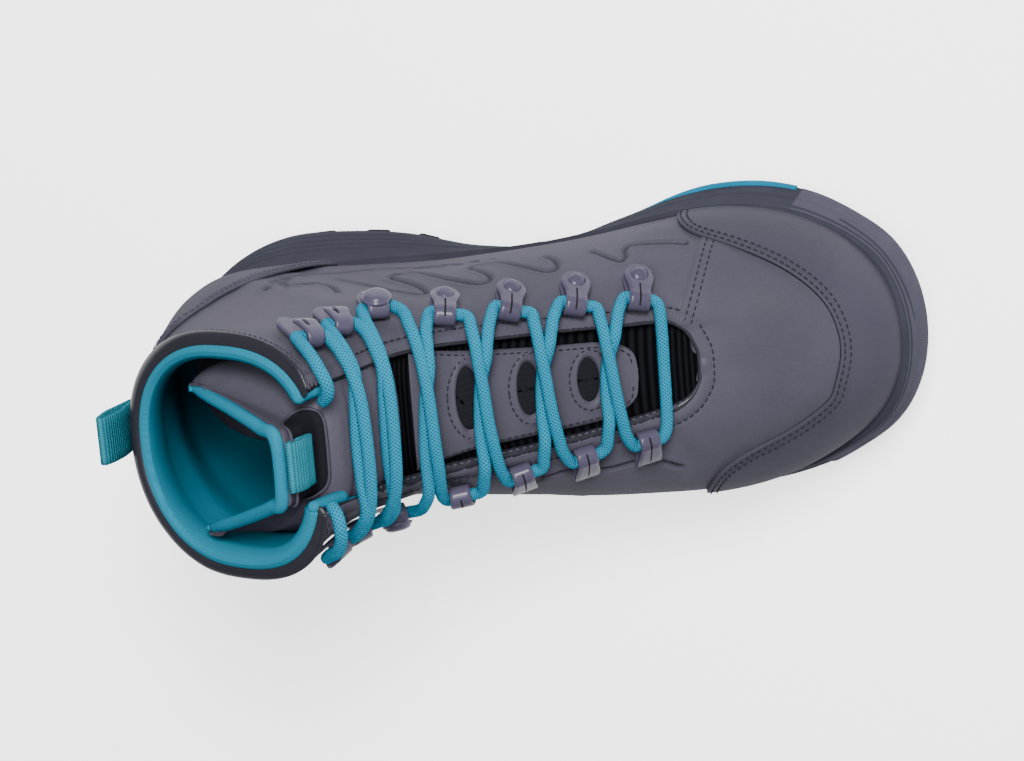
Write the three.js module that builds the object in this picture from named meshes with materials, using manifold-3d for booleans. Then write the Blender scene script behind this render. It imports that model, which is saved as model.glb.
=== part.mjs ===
// A wading boot for the right foot, standing empty on its sole.
// Millimetres. +X points to the toe, +Y to the wearer's left (the inner side of this foot), +Z up.
import * as THREE from "three";
import { mergeVertices } from "three/addons/utils/BufferGeometryUtils.js";
import Module from "manifold-3d";

// Driving sizes of the boot.
const LENGTH = 288; // sole, heel to toe
const FRONT_HEIGHT = 186; // top of the collar in front, above the floor
const LAST_MEDIAL = 48.5; // half width of the upper at the ball, inner side
const LAST_LATERAL = 55.5; // half width of the upper at the ball, outer side
const LEAN = 7; // how far the loose collar leans to the outer side
const GAP = 0.3; // between pieces that touch

// The upper's wall and its overlays.
const WALL = 2.4;
const COLLAR_PAD = 8; // wall of the padded collar
const QUARTER_STEP = 1.4; // step from the quarter's top edge down to the padded collar
const COLLAR_ROLL = 0.9; // how far the padding stands proud above that step
const OVERLAY = 1.3; // toe cap and heel counter

// The sole.
const FEATHER_HEIGHT = 31; // floor to the seam of upper and sole, at the heel
const SOLE_FLARE = 13; // how far the sole's edge stands out beyond the upper at the heel
const RIM = 2.6; // thickness of the midsole's rim beside the upper
const CUP_HEIGHT = 17; // how far the heel cup rises above the feather seam
const RIB_DEPTH = 1.1; // ribs and steps of the sole's side
const OUTSOLE_HEIGHT = 13; // lugs and base of the outsole at the heel
const LUG_DEPTH = 5.5;
const LUG_SIZE = 7.2; // corner radius of an edge lug
const INNER_LUG_SIZE = 5.6;
const LUG_PITCH = 22;
const TOE_SPRING = 16; // rise of the outsole's bottom at the toe
const ARCH_RISE = 8; // rise of the outsole's bottom under the arch
const BUMPER_BACK_MEDIAL = 0.844 * LENGTH; // where the toe bumper ends, inner side
const BUMPER_BACK_LATERAL = 0.872 * LENGTH; // and outer side
const BUMPER_RISE = 15; // rise of the bumper's edge at the toe
const CRESCENT_DEPTH = 3.2; // coloured insert along the inner side
const CRESCENT_HEIGHT = 2.6;
const CRESCENT_RISE = 1.2; // its lower edge above the outsole
const BUMPER_WALL = 3; // how far the bumper reaches in under the upper's edge
const INSOLE = 4;
const INSOLE_CLEAR = 4.3; // insole to the upper's wall

// Tongue, pull loops, hardware and laces.
const TONGUE = 4.2;
const TONGUE_RISE = 11; // tongue above the collar's front
const TONGUE_COVER = 1.4;
const COVER_LIFT = 1.4; // the cover's underside above the tongue
const PATCH_LIFT = 0.6; // and the patch's
const WEB = 1.6; // webbing thickness
const WEB_WIDTH = 17;
const PULL_HEIGHT = 34; // webbing loop at the heel
const PULL_DEPTH = 7;
const TAB_HEIGHT = 16; // webbing loop on the tongue
const TAB_DEPTH = 4.6;
const LACE = 5;
const LOOP_LENGTH = 16;
const LOOP_WIDTH = 9.5;
const LOOP_THICK = 1.5;
const HOOK_WIDTH = 8.5;
const RIVET = 3.6; // radius of a rivet's dome
const LACE_PLAY = 0.5; // lace to loop, all round

// The upper's sections, from the toe over the instep to the collar. Each lies in a plane through a front
// point and a back point. Along the boot they are shares of LENGTH, upwards shares of FRONT_HEIGHT, and half
// widths are shares of LAST_MEDIAL and LAST_LATERAL. widest: where along the section it is widest.
// frontPower and backPower: how square its two ends are. lean: share of LEAN.
const SECTION_COLUMNS = [
  "frontX", "frontZ", "backX", "backZ", "medial", "lateral", "widest", "frontPower", "backPower", "lean",
];
const SECTIONS = [
  [0.979, 0.215, 0.979, 0.215, 0.0, 0.0, 0.5, 2.4, 2.4, 0],
  [0.969, 0.285, 0.969, 0.14, 0.31, 0.27, 0.45, 2.4, 2.4, 0],
  [0.941, 0.331, 0.941, 0.091, 0.577, 0.505, 0.4, 2.4, 2.6, 0],
  [0.896, 0.366, 0.896, 0.065, 0.773, 0.703, 0.36, 2.4, 3, 0],
  [0.84, 0.398, 0.84, 0.065, 0.918, 0.865, 0.34, 2.4, 3, 0],
  [0.781, 0.433, 0.781, 0.065, 0.99, 0.964, 0.34, 2.3, 3, 0],
  [0.719, 0.473, 0.719, 0.065, 1.0, 1.0, 0.36, 2.3, 3, 0],
  [0.653, 0.53, 0.653, 0.054, 0.948, 0.991, 0.38, 2.3, 3, 0],
  [0.587, 0.594, 0.587, 0.054, 0.887, 0.946, 0.42, 2.4, 3, 0],
  [0.524, 0.656, 0.524, 0.054, 0.845, 0.874, 0.46, 2.5, 3, 0],
  [0.476, 0.71, 0.444, 0.054, 0.814, 0.811, 0.5, 2.6, 3, 0],
  [0.441, 0.755, 0.34, 0.054, 0.784, 0.757, 0.5, 2.7, 2.8, 0.07],
  [0.413, 0.801, 0.215, 0.043, 0.784, 0.739, 0.5, 2.8, 2.6, 0.22],
  [0.394, 0.844, 0.097, 0.054, 0.8, 0.735, 0.48, 2.9, 2.4, 0.42],
  [0.378, 0.882, 0.021, 0.172, 0.82, 0.745, 0.46, 3.0, 2.3, 0.6],
  [0.366, 0.917, 0.01, 0.333, 0.825, 0.755, 0.46, 3.0, 2.2, 0.74],
  [0.358, 0.946, 0.024, 0.495, 0.822, 0.765, 0.48, 2.9, 2.2, 0.86],
  [0.351, 0.973, 0.045, 0.656, 0.818, 0.778, 0.5, 2.8, 2.2, 0.95],
  [0.347, 1.0, 0.066, 0.817, 0.815, 0.792, 0.5, 2.6, 2.2, 1],
];
const COLLAR = SECTIONS.length - 1; // station of the collar's rim
const AROUND = 24; // points round each section

// Curves in tables with equal steps are read with this spline through their rows.
function spline(rows, u, before, after) {
  const last = rows.length - 1;
  const t = Math.min(Math.max(u, 0), last);
  const i = Math.min(Math.floor(t), last - 1);
  const f = t - i;
  const a = i > 0 ? rows[i - 1] : before ?? rows[0].map((v, k) => 2 * v - rows[1][k]);
  const b = rows[i];
  const c = rows[i + 1];
  const d = i + 2 <= last ? rows[i + 2] : after ?? rows[last].map((v, k) => 2 * v - rows[last - 1][k]);
  return b.map((v, k) => {
    const linear = c[k] - a[k];
    const square = 2 * a[k] - 5 * v + 4 * c[k] - d[k];
    const cube = 3 * v - a[k] - 3 * c[k] + d[k];
    return 0.5 * (2 * v + linear * f + square * f * f + cube * f * f * f);
  });
}

// Straight interpolation in a table of [place, value] rows.
function between(rows, x) {
  if (x <= rows[0][0]) return rows[0][1];
  for (let i = 1; i < rows.length; i++) {
    if (x <= rows[i][0]) {
      const [x0, v0] = rows[i - 1];
      const [x1, v1] = rows[i];
      return v0 + ((v1 - v0) * (x - x0)) / (x1 - x0);
    }
  }
  return rows[rows.length - 1][1];
}

const smooth = (x) => {
  const t = Math.min(Math.max(x, 0), 1);
  return t * t * (3 - 2 * t);
};

// The toe's last section is mirrored past the tip, so that the tip comes out round.
const PAST_TOE = (() => {
  const r = SECTIONS[1];
  return [r[0], r[3], r[2], r[1], -r[4], -r[5], ...r.slice(6)];
})();

// A table's row with its columns' names.
const named = (columns, row) => Object.fromEntries(columns.map((name, k) => [name, row[k]]));

// A point of the upper's outer form: station along the boot, angle round the section (0 in front or on top,
// positive to the inner side).
function formPoint(station, angle) {
  const at = named(SECTION_COLUMNS, spline(SECTIONS, station, PAST_TOE));
  const c = Math.cos(angle);
  const s = Math.sin(angle);
  const power = 2 / (c >= 0 ? at.frontPower : at.backPower);
  const along = Math.abs(c) ** power;
  const share = c >= 0 ? at.widest + (1 - at.widest) * along : at.widest * (1 - along);
  const half = s >= 0 ? at.medial * LAST_MEDIAL : -at.lateral * LAST_LATERAL;
  const x = LENGTH * (at.backX + (at.frontX - at.backX) * share);
  const z = FRONT_HEIGHT * (at.backZ + (at.frontZ - at.backZ) * share);
  const y = half * Math.abs(s) ** power - at.lean * LEAN * smooth((z / FRONT_HEIGHT - 0.27) / 0.54);
  return new THREE.Vector3(x, y, z);
}

function formNormal(station, angle) {
  const h = 2e-3;
  const s0 = Math.max(station - h, 0);
  const s1 = Math.min(station + h, COLLAR);
  const along = formPoint(s1, angle).sub(formPoint(s0, angle));
  const round = formPoint(station, angle + h).sub(formPoint(station, angle - h));
  const n = round.cross(along);
  return station < h ? new THREE.Vector3(1, 0, 0) : n.normalize();
}

const formOffset = (station, angle, out) =>
  formPoint(station, angle).addScaledVector(formNormal(station, angle), out);

// Solids for cutting and joining.
const wasm = await Module();
wasm.setup();

function solid(geometry) {
  const bare = new THREE.BufferGeometry();
  const source = geometry.index ? geometry.toNonIndexed() : geometry;
  bare.setAttribute("position", source.getAttribute("position"));
  const merged = mergeVertices(bare, 1e-4);
  const index = [];
  for (let i = 0; i < merged.index.count; i += 3) {
    const [a, b, c] = [0, 1, 2].map((k) => merged.index.getX(i + k));
    if (a !== b && b !== c && c !== a) index.push(a, b, c);
  }
  const vertProperties = merged.attributes.position.array;
  const make = (order) =>
    new wasm.Manifold(new wasm.Mesh({ numProp: 3, vertProperties, triVerts: new Uint32Array(order) }));
  const made = make(index);
  if (made.volume() > 0) return made;
  const turned = [];
  for (let i = 0; i < index.length; i += 3) turned.push(index[i], index[i + 2], index[i + 1]);
  return make(turned);
}

function geometryOf(body) {
  const mesh = body.getMesh();
  const position = new Float32Array(mesh.numVert * 3);
  for (let i = 0; i < mesh.numVert; i++)
    position.set(mesh.vertProperties.subarray(i * mesh.numProp, i * mesh.numProp + 3), i * 3);
  const geometry = new THREE.BufferGeometry();
  geometry.setAttribute("position", new THREE.BufferAttribute(position, 3));
  geometry.setIndex(new THREE.BufferAttribute(new Uint32Array(mesh.triVerts), 1));
  return geometry;
}

// A closed solid through rings of equally many points. Its two ends are closed by fans, or, where each ring
// is a thin strip, by the band between the ring's two halves.
function loft(rings, strip = false) {
  const count = rings[0].length;
  const centre = (ring) =>
    ring.reduce((sum, p) => sum.add(p), new THREE.Vector3()).divideScalar(count);
  const points = [...rings.flat(), centre(rings[0]), centre(rings[rings.length - 1])];
  const index = [];
  for (let i = 0; i + 1 < rings.length; i++)
    for (let j = 0; j < count; j++) {
      const k = (j + 1) % count;
      const [a, b, c, d] = [i * count + j, i * count + k, (i + 1) * count + j, (i + 1) * count + k];
      index.push(a, b, d, a, d, c);
    }
  const [first, last] = [points.length - 2, points.length - 1];
  const top = (rings.length - 1) * count;
  for (let j = 0; j < count && !strip; j++) {
    const k = (j + 1) % count;
    index.push(first, k, j, last, top + j, top + k);
  }
  for (let j = 0; j < count / 2 - 1 && strip; j++) {
    const [k, l, m] = [j + 1, count - 2 - j, count - 1 - j];
    index.push(j, l, k, j, m, l, top + j, top + k, top + l, top + j, top + l, top + m);
  }
  const geometry = new THREE.BufferGeometry().setFromPoints(points);
  geometry.setIndex(index);
  return solid(geometry);
}

// A prism over a plan outline, or over a side outline in X and Z when across is true.
function prism(outline, low, high, across = false) {
  const shape = new THREE.Shape(outline.map(([a, b]) => new THREE.Vector2(a, b)));
  const geometry = new THREE.ExtrudeGeometry(shape, { depth: high - low, bevelEnabled: false });
  geometry.translate(0, 0, low);
  if (across) geometry.applyMatrix4(new THREE.Matrix4().set(1, 0, 0, 0, 0, 0, 1, 0, 0, 1, 0, 0, 0, 0, 0, 1));
  return solid(geometry);
}

const material = (color, roughness, metalness = 0) =>
  new THREE.MeshStandardMaterial({ color, roughness, metalness });
const finishes = {
  upper: material("#5d5a66", 0.55),
  dark: material("#3f3f49", 0.5),
  lining: material("#2a8fa3", 0.9),
  lace: material("#1f97ad", 0.8),
  webbing: material("#3a8f93", 0.85),
  midsole: material("#3c444c", 0.6),
  rubber: material("#2c2829", 0.75),
  bumper: material("#4a4a52", 0.6),
  accent: material("#1d8ba0", 0.6),
  hardware: material("#57566a", 0.35),
  mesh: material("#1d1e22", 0.9),
};

const boot = new THREE.Group();
function add(name, body, finish) {
  const mesh = new THREE.Mesh(geometryOf(body), finish);
  mesh.name = name;
  boot.add(mesh);
  return body;
}

// Heights of the sole along the boot, [share of LENGTH, height].
const bottomRows = [
  [0, 0.22 * TOE_SPRING],
  [0.045, 0],
  [0.28, 0],
  [0.34, 0.8 * ARCH_RISE],
  [0.4, ARCH_RISE],
  [0.47, 0.7 * ARCH_RISE],
  [0.53, 0],
  [0.75, 0],
  [0.83, 0.16 * TOE_SPRING],
  [0.92, 0.52 * TOE_SPRING],
  [1, TOE_SPRING],
].map(([x, z]) => [x * LENGTH, z]);
const bottomAt = (x) => between(bottomRows, x);
const outsoleTopAt = (x) =>
  between([[0, 1.15], [0.06, 1], [0.28, 1], [0.4, 1.3], [0.53, 0.9], [0.72, 0.88], [0.85, 1.15], [1, 1.95]]
    .map(([s, v]) => [s * LENGTH, v * OUTSOLE_HEIGHT]), x);
const featherAt = (x) =>
  between([[0, 1.02], [0.3, 1], [0.45, 0.98], [0.7, 0.92], [0.85, 0.98], [0.97, 1.12]]
    .map(([s, v]) => [s * LENGTH, v * FEATHER_HEIGHT]), x);

// Top edge of the midsole's rim: heel cup behind, bumper in front.
const rimTopAt = (x) =>
  featherAt(x) +
  between([[0, 1], [0.1, 1], [0.2, 0.72], [0.3, 0.34], [0.36, 0.2], [1, 0.2]]
    .map(([s, v]) => [s * LENGTH, v * CUP_HEIGHT]), x) +
  between([[0.83, 0], [0.9, 0.22], [0.95, 0.62], [0.985, 1]].map(([s, v]) => [s * LENGTH, v * BUMPER_RISE]), x);

// Half outlines at equal turns from heel to toe, each place x = start + span * (1 - cos(turn)) / 2.
// medial and lateral: the upper's feather edge as shares of LAST_MEDIAL and LAST_LATERAL.
// outMedial and outLateral: how far the sole's edge stands out, as shares of SOLE_FLARE.
const EDGE_COLUMNS = ["medial", "lateral", "outMedial", "outLateral"];
const EDGE = [
  [0.0, 0.0, 0.0, 0.0],
  [0.285, 0.27, 0.3, 0.2],
  [0.44, 0.408, 0.58, 0.42],
  [0.56, 0.515, 0.85, 0.62],
  [0.628, 0.577, 1.02, 0.74],
  [0.645, 0.6, 1.0, 0.76],
  [0.667, 0.63, 0.76, 0.72],
  [0.706, 0.69, 0.2, 0.62],
  [0.765, 0.783, -0.12, 0.52],
  [0.86, 0.918, 0.18, 0.42],
  [0.965, 0.988, 0.46, 0.38],
  [0.998, 0.98, 0.53, 0.38],
  [0.932, 0.883, 0.48, 0.36],
  [0.79, 0.721, 0.36, 0.3],
  [0.612, 0.537, 0.24, 0.24],
  [0.34, 0.295, 0.1, 0.1],
  [0.0, 0.0, 0.0, 0.0],
];
const EDGE_STEPS = 36; // points round the sole
const HEEL_START = 5.5; // the upper's heel, in front of the sole's
const edgeMirror = (row) => row.map((v) => -v);

// A point of the sole's side at turn share t (0 heel, 0.5 toe on the inner side, back along the outer side):
// flare 0 is the feather edge, 1 the sole's edge, and more adds to the width. rim adds millimetres outwards.
function edgePoint(t, flare, rim) {
  const inner = t <= 0.5;
  const turn = inner ? 2 * t : 2 - 2 * t;
  const row = spline(EDGE, turn * (EDGE.length - 1), edgeMirror(EDGE[1]), edgeMirror(EDGE[EDGE.length - 2]));
  const at = named(EDGE_COLUMNS, row);
  const c = Math.cos(Math.PI * turn);
  const start = HEEL_START * (1 - flare) - rim;
  const end = 0.975 * LENGTH + 0.025 * LENGTH * flare + rim;
  const x = start + ((end - start) * (1 - c)) / 2;
  const side = Math.sqrt(Math.max(0, 1 - c * c));
  const half = inner
    ? at.medial * LAST_MEDIAL + at.outMedial * SOLE_FLARE * flare + rim * side
    : at.lateral * LAST_LATERAL + at.outLateral * SOLE_FLARE * flare + rim * side;
  return new THREE.Vector3(x, inner ? half : -half, 0);
}

const edgeRing = (flare, rim) =>
  Array.from({ length: EDGE_STEPS }, (_, i) => edgePoint(i / EDGE_STEPS, flare, rim));

// The upper: one hollow shell, open at the collar and throat and underneath.
const quarterTop = (angle) =>
  COLLAR - between([[0, 0.3], [1.2, 0.3], [1.9, 0.38], [2.35, 0.8], [Math.PI, 0.85]], Math.abs(angle));

const FORM_STATIONS = [0, 0.35, 0.8, 1.4, 2.1, 3, 4, 5.2, 6.5, 7.7, 8.9, 10.1, 11.3, 12.5, 13.8, 15];
const INNER_STATIONS = [0, 0.4, 1, 1.9, 3, 4.5, 6.5, 8.6, 10.6, 12.5, 13.8, 15];
const turned = (ang) => (ang > Math.PI ? ang - 2 * Math.PI : ang);
const angles = Array.from({ length: AROUND }, (_, j) => turned((2 * Math.PI * (j + 0.5)) / AROUND));

// Rings above station 15 run to the quarter's top edge and then over the padding to the rim.
// share: from station 15 to the quarter's edge (up to 1) and on to the rim (up to 2).
// roll: share of QUARTER_STEP inwards when negative, of COLLAR_ROLL outwards when positive.
const COLLAR_COLUMNS = ["share", "roll"];
const COLLAR_RINGS = [
  [0.5, 0],
  [1, 0],
  [1.02, -1],
  [1.35, 0.7],
  [1.7, 1],
  [1.93, -0.4],
  [2, -1.8],
];
const PADDING_FROM = 15; // station where the collar's padding starts
const collarStation = (share, angle) => {
  const edge = quarterTop(angle);
  return share <= 1 ? PADDING_FROM + (edge - PADDING_FROM) * share : edge + (COLLAR - edge) * (share - 1);
};

// Rings of the outer form, moved out by one distance, and shaped over the collar's padding if asked.
function formRings(out, padded = false) {
  const rings = FORM_STATIONS.map((s) => angles.map((a) => formOffset(s, a, out)));
  for (const row of COLLAR_RINGS) {
    const { share, roll } = named(COLLAR_COLUMNS, row);
    const move = padded ? roll * (roll < 0 ? QUARTER_STEP : COLLAR_ROLL) : 0;
    rings.push(angles.map((a) => formOffset(collarStation(share, a), a, out + move)));
  }
  return rings;
}
const plainForm = (out) => loft(formRings(out));

const wallAt = (station) => WALL + (COLLAR_PAD - WALL) * smooth((station - PADDING_FROM) / 1.6);
function innerForm(clear = 0) {
  const rings = INNER_STATIONS.map((s) => angles.map((a) => formOffset(s, a, -WALL - clear)));
  for (const s of [15.7, 16.4, 17.2])
    rings.push(angles.map((a) => formOffset(s, a, -wallAt(s) - clear)));
  rings.push(angles.map((a) => formOffset(COLLAR, a, -0.72 * COLLAR_PAD - clear)));
  const up = formPoint(COLLAR, 0).sub(formPoint(COLLAR - 1, 0)).normalize();
  rings.push(angles.map((a) => formOffset(COLLAR, a, -0.5 * COLLAR_PAD - clear).addScaledVector(up, 12)));
  return loft(rings);
}

// The throat in plan: places along the boot as shares of LENGTH, its two edges as shares of LAST_LATERAL.
const THROAT_COLUMNS = ["x", "medial", "lateral"];
const THROAT = [
  [0.737, 0.03, 0.03],
  [0.733, 0.12, 0.12],
  [0.724, 0.22, 0.2],
  [0.712, 0.28, 0.255],
  [0.695, 0.315, 0.288],
  [0.65, 0.325, 0.335],
  [0.59, 0.343, 0.385],
  [0.52, 0.355, 0.42],
  [0.45, 0.37, 0.46],
  [0.4, 0.36, 0.5],
  [0.35, 0.31, 0.47],
  [0.29, 0.31, 0.47],
];
const throatOutline = [
  ...THROAT.map(([x, m]) => [x * LENGTH, m * LAST_LATERAL]).reverse(),
  ...THROAT.map(([x, , l]) => [x * LENGTH, -l * LAST_LATERAL]),
];
const throatCut = prism(throatOutline, 0.33 * FRONT_HEIGHT, 1.3 * FRONT_HEIGHT);

// Everything above the feather seam, raised by a clearance.
function aboveFeather(clear) {
  const steps = 24;
  const line = Array.from({ length: steps + 1 }, (_, i) => {
    const x = -20 + ((LENGTH + 40) * i) / steps;
    return [x, featherAt(x) + clear];
  });
  const roof = 1.4 * FRONT_HEIGHT;
  return prism([...line, [LENGTH + 20, roof], [-20, roof]], -LENGTH / 2, LENGTH / 2, true);
}

const upperSpace = aboveFeather(GAP);
const upperBody = loft(formRings(0, true)).subtract(innerForm()).subtract(throatCut).intersect(upperSpace);
add("upper", upperBody, finishes.upper);

// The toe cap's back edge in plan, [share of LENGTH, share of LAST_LATERAL], from the inner side round.
const capEdge = [
  [0.69, 1.2],
  [0.697, 0.86],
  [0.73, 0.78],
  [0.815, 0.618],
  [0.859, 0.476],
  [0.879, 0.376],
  [0.894, 0.261],
  [0.902, 0.12],
  [0.905, -0.02],
  [0.899, -0.155],
  [0.884, -0.364],
  [0.867, -0.422],
  [0.836, -0.477],
  [0.793, -0.604],
  [0.75, -0.733],
  [0.718, -0.94],
  [0.71, -1.3],
].map(([x, y]) => [x * LENGTH, y * LAST_LATERAL]);
const capPlan = [...capEdge, [1.1 * LENGTH, -1.3 * LAST_LATERAL], [1.1 * LENGTH, 1.2 * LAST_LATERAL]];
const overlaySkin = plainForm(GAP + OVERLAY).subtract(plainForm(GAP));
const capBody = overlaySkin.intersect(prism(capPlan, 0, FRONT_HEIGHT)).intersect(aboveFeather(GAP));
add("toe_cap", capBody, finishes.upper);

// The heel counter's outline from the side, [share of LENGTH, share of FRONT_HEIGHT].
const counterSide = [
  [-0.05, 0.1],
  [0.225, 0.1],
  [0.225, 0.24],
  [0.19, 0.4],
  [0.15, 0.56],
  [0.125, 0.64],
  [0.1, 0.665],
  [-0.05, 0.665],
].map(([x, z]) => [x * LENGTH, z * FRONT_HEIGHT]);
const counterBody = overlaySkin
  .intersect(prism(counterSide, -LAST_LATERAL, LAST_LATERAL, true))
  .intersect(aboveFeather(GAP));
add("heel_counter", counterBody, finishes.upper);

// The band of the sole between two lines along the boot, as wide as need be.
function sideBand(lowAt, highAt) {
  const xs = [...new Set([-20, ...bottomRows.map(([x]) => x),
    ...[0.06, 0.72, 0.85].map((s) => s * LENGTH), LENGTH + 20])].sort((a, b) => a - b);
  return prism([...xs.map((x) => [x, lowAt(x)]), ...xs.reverse().map((x) => [x, highAt(x)])],
    -LENGTH / 2, LENGTH / 2, true);
}

// Midsole and toe bumper come from one blank, hollowed for the upper and its overlays.
// level: share of the height from the outsole to the rim. flare: share of the sole's flare.
// groove: share of RIB_DEPTH inwards at the heel and the toe.
const LEVEL_COLUMNS = ["level", "flare", "groove"];
const LEVELS = [
  [0, 0.93, 0],
  [0.13, 1, 0],
  [0.3, 0.92, 0],
  [0.34, 0.84, 1],
  [0.43, 0.76, 1],
  [0.47, 0.74, 0],
  [0.57, 0.62, 0],
  [0.6, 0.56, 1],
  [0.68, 0.48, 1],
  [0.71, 0.46, 0],
  [0.86, 0.22, 0],
  [1, 0.05, 0],
];
const ribbed = (x) => {
  const share = x / LENGTH;
  return smooth((0.36 - share) / 0.08) + smooth((share - 0.76) / 0.06);
};
const levelRing = ([level, flare, groove]) =>
  edgeRing(flare, 0).map((p) => {
    const low = outsoleTopAt(p.x) + GAP;
    const z = level > 0 ? low + (rimTopAt(p.x) - low) * level : low - LUG_DEPTH;
    const behind = p.x < LENGTH / 2;
    const cup = behind ? between([[0, 1.5], [0.22, 1.5], [0.36, 0.4], [0.45, 0.1]], p.x / LENGTH) : 0;
    const rim = RIM * (level * (0.9 + cup) + 0.15) - groove * RIB_DEPTH * ribbed(p.x);
    const out = new THREE.Vector3(p.x - 0.42 * LENGTH, p.y * 1.8, 0).normalize();
    return new THREE.Vector3(p.x + out.x * rim, p.y + out.y * rim, z);
  });
const blank = loft(LEVELS.map(levelRing))
  .intersect(sideBand((x) => outsoleTopAt(x) + GAP, () => FRONT_HEIGHT));
const capRoom = plainForm(2 * GAP + OVERLAY).intersect(prism(
  capPlan.map(([x, y], i) => [x - (i < capEdge.length ? 1 : 0), y]), 0, FRONT_HEIGHT));
const counterRoom = plainForm(2 * GAP + OVERLAY).intersect(prism(
  counterSide.map(([x, z]) => [x + 1, z + 1]), -LAST_LATERAL, LAST_LATERAL, true));
const upperRoom = plainForm(GAP).add(capRoom).add(counterRoom).intersect(aboveFeather(0));
const cupped = blank.subtract(upperRoom);

// The bumper is the blank's front, outside the midsole's core.
const bumperPlan = (clear) => [
  [BUMPER_BACK_MEDIAL + clear, 2 * LAST_LATERAL],
  [BUMPER_BACK_MEDIAL + clear, 0],
  [BUMPER_BACK_LATERAL + clear, 0],
  [BUMPER_BACK_LATERAL + clear, -2 * LAST_LATERAL],
  [1.2 * LENGTH, -2 * LAST_LATERAL],
  [1.2 * LENGTH, 2 * LAST_LATERAL],
];
const coreAt = (inset) =>
  prism(edgeRing(0, -inset).map((p) => [p.x, p.y]), -5, 0.9 * FRONT_HEIGHT);
const frontOf = (clear) => prism(bumperPlan(clear), -10, FRONT_HEIGHT);
add("toe_bumper", cupped.intersect(frontOf(GAP)).subtract(coreAt(BUMPER_WALL)), finishes.bumper);

// Coloured insert in a groove along the inner side.
const CRESCENT_FROM = 0.262; // turn shares of its two ends
const CRESCENT_TO = 0.358;
const crescentRing = (t, grow) => {
  const from = edgePoint(t, 1, RIM * 0.2);
  const low = outsoleTopAt(from.x) + GAP;
  const fade = Math.sin(Math.PI * (t - CRESCENT_FROM) / (CRESCENT_TO - CRESCENT_FROM));
  const height = CRESCENT_HEIGHT * (0.35 + 0.65 * fade) + grow;
  const inward = new THREE.Vector3(0, -1, 0);
  const deep = from.clone().addScaledVector(inward, CRESCENT_DEPTH + grow);
  const face = from.clone().addScaledVector(inward, grow > 0 ? -CRESCENT_DEPTH : -GAP);
  const base = low + CRESCENT_RISE - grow;
  return [
    new THREE.Vector3(face.x, face.y, base),
    new THREE.Vector3(face.x, face.y, base + height + grow),
    new THREE.Vector3(deep.x, deep.y, base + height + grow),
    new THREE.Vector3(deep.x, deep.y, base),
  ];
};
const crescent = (grow) => {
  const steps = 10;
  const [a, b] = grow > 0 ? [CRESCENT_FROM - 0.003, CRESCENT_TO + 0.003] : [CRESCENT_FROM, CRESCENT_TO];
  return loft(Array.from({ length: steps + 1 }, (_, i) => crescentRing(a + ((b - a) * i) / steps, grow)));
};
add("side_insert", crescent(0), finishes.accent);
const midsoleBody = cupped
  .subtract(frontOf(0))
  .add(cupped.intersect(frontOf(-1)).intersect(coreAt(BUMPER_WALL + GAP)))
  .subtract(crescent(GAP));
add("midsole", midsoleBody, finishes.midsole);

// Outsole: a base with lugs, all cut to the outline and to the line of the bottom.
const plan = (inset) => edgeRing(1, -inset).map((p) => [p.x, p.y]);
const EDGE_ROOM = 0.4; // lugs stand this far inside the sole's edge
const planPrism = (outline) => prism(outline, -TOE_SPRING, FRONT_HEIGHT); // as tall as any part of the sole
const BASE_INSET = 1.2; // the base lies this much inside the sole's edge
const LUG_ROOT = 2; // lugs reach this far into the base
const outsoleBase = planPrism(plan(BASE_INSET))
  .intersect(sideBand((x) => bottomAt(x) + LUG_DEPTH, outsoleTopAt));
const lugSpace = planPrism(plan(EDGE_ROOM)).intersect(sideBand(bottomAt, (x) => bottomAt(x) + LUG_DEPTH + LUG_ROOT));

function lug(x, y, radius, turn, sides = 6, stretch = 1) {
  const corners = Array.from({ length: sides }, (_, i) => {
    const a = turn + (2 * Math.PI * i) / sides;
    return [x + radius * stretch * Math.cos(a), y + radius * Math.sin(a)];
  });
  return planPrism(corners);
}

// Lug places: along the edge at an even pitch, and inner rows, as shares of LENGTH and of the half widths.
function edgeLugs() {
  const lugs = [];
  const samples = edgeRing(1, -0.72 * LUG_SIZE);
  let run = 0;
  for (let i = 0; i < samples.length; i++) {
    const a = samples[i];
    const b = samples[(i + 1) % samples.length];
    const step = a.distanceTo(b);
    while (run < step) {
      const p = a.clone().lerp(b, run / step);
      if (p.x > 0.1 * LENGTH) lugs.push(lug(p.x, p.y, LUG_SIZE, Math.atan2(b.y - a.y, b.x - a.x)));
      run += LUG_PITCH;
    }
    run -= step;
  }
  return lugs;
}
// [share of LENGTH, share of LAST_LATERAL] of the inner lugs on the outsole, and of those on the spine.
const INNER_LUGS = [
  [0.16, 0.42], [0.16, -0.44], [0.25, 0.4], [0.25, -0.45],
  [0.53, -0.55], [0.56, 0.42], [0.62, 0.62], [0.62, -0.64],
  [0.7, 0.62], [0.7, -0.66], [0.78, 0.55], [0.78, -0.58], [0.86, 0.4], [0.86, -0.42], [0.93, 0.0],
];
const SPINE_LUGS = [
  [0.1, 0, 1], [0.155, 0, 0.95], [0.205, 0.2, 0.95], [0.21, -0.22, 0.95], [0.26, 0, 0.9],
  [0.55, 0.02, 0.95], [0.605, 0.2, 0.9], [0.61, -0.2, 0.9], [0.67, 0, 1], [0.735, 0.18, 0.9], [0.74, -0.2, 0.9],
  [0.8, 0, 1],
];
// The heel's back edge: a broad lug that follows the outline.
const HEEL_LUG_DEEP = 13;
const HEEL_LUG_END = 0.085 * LENGTH;
const behindHeelLug = [[-HEEL_LUG_DEEP, -LAST_LATERAL], [HEEL_LUG_END, -LAST_LATERAL],
  [HEEL_LUG_END, LAST_LATERAL], [-HEEL_LUG_DEEP, LAST_LATERAL]];
const heelLug = planPrism(plan(EDGE_ROOM))
  .subtract(planPrism(plan(HEEL_LUG_DEEP)))
  .intersect(planPrism(behindHeelLug));

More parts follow.
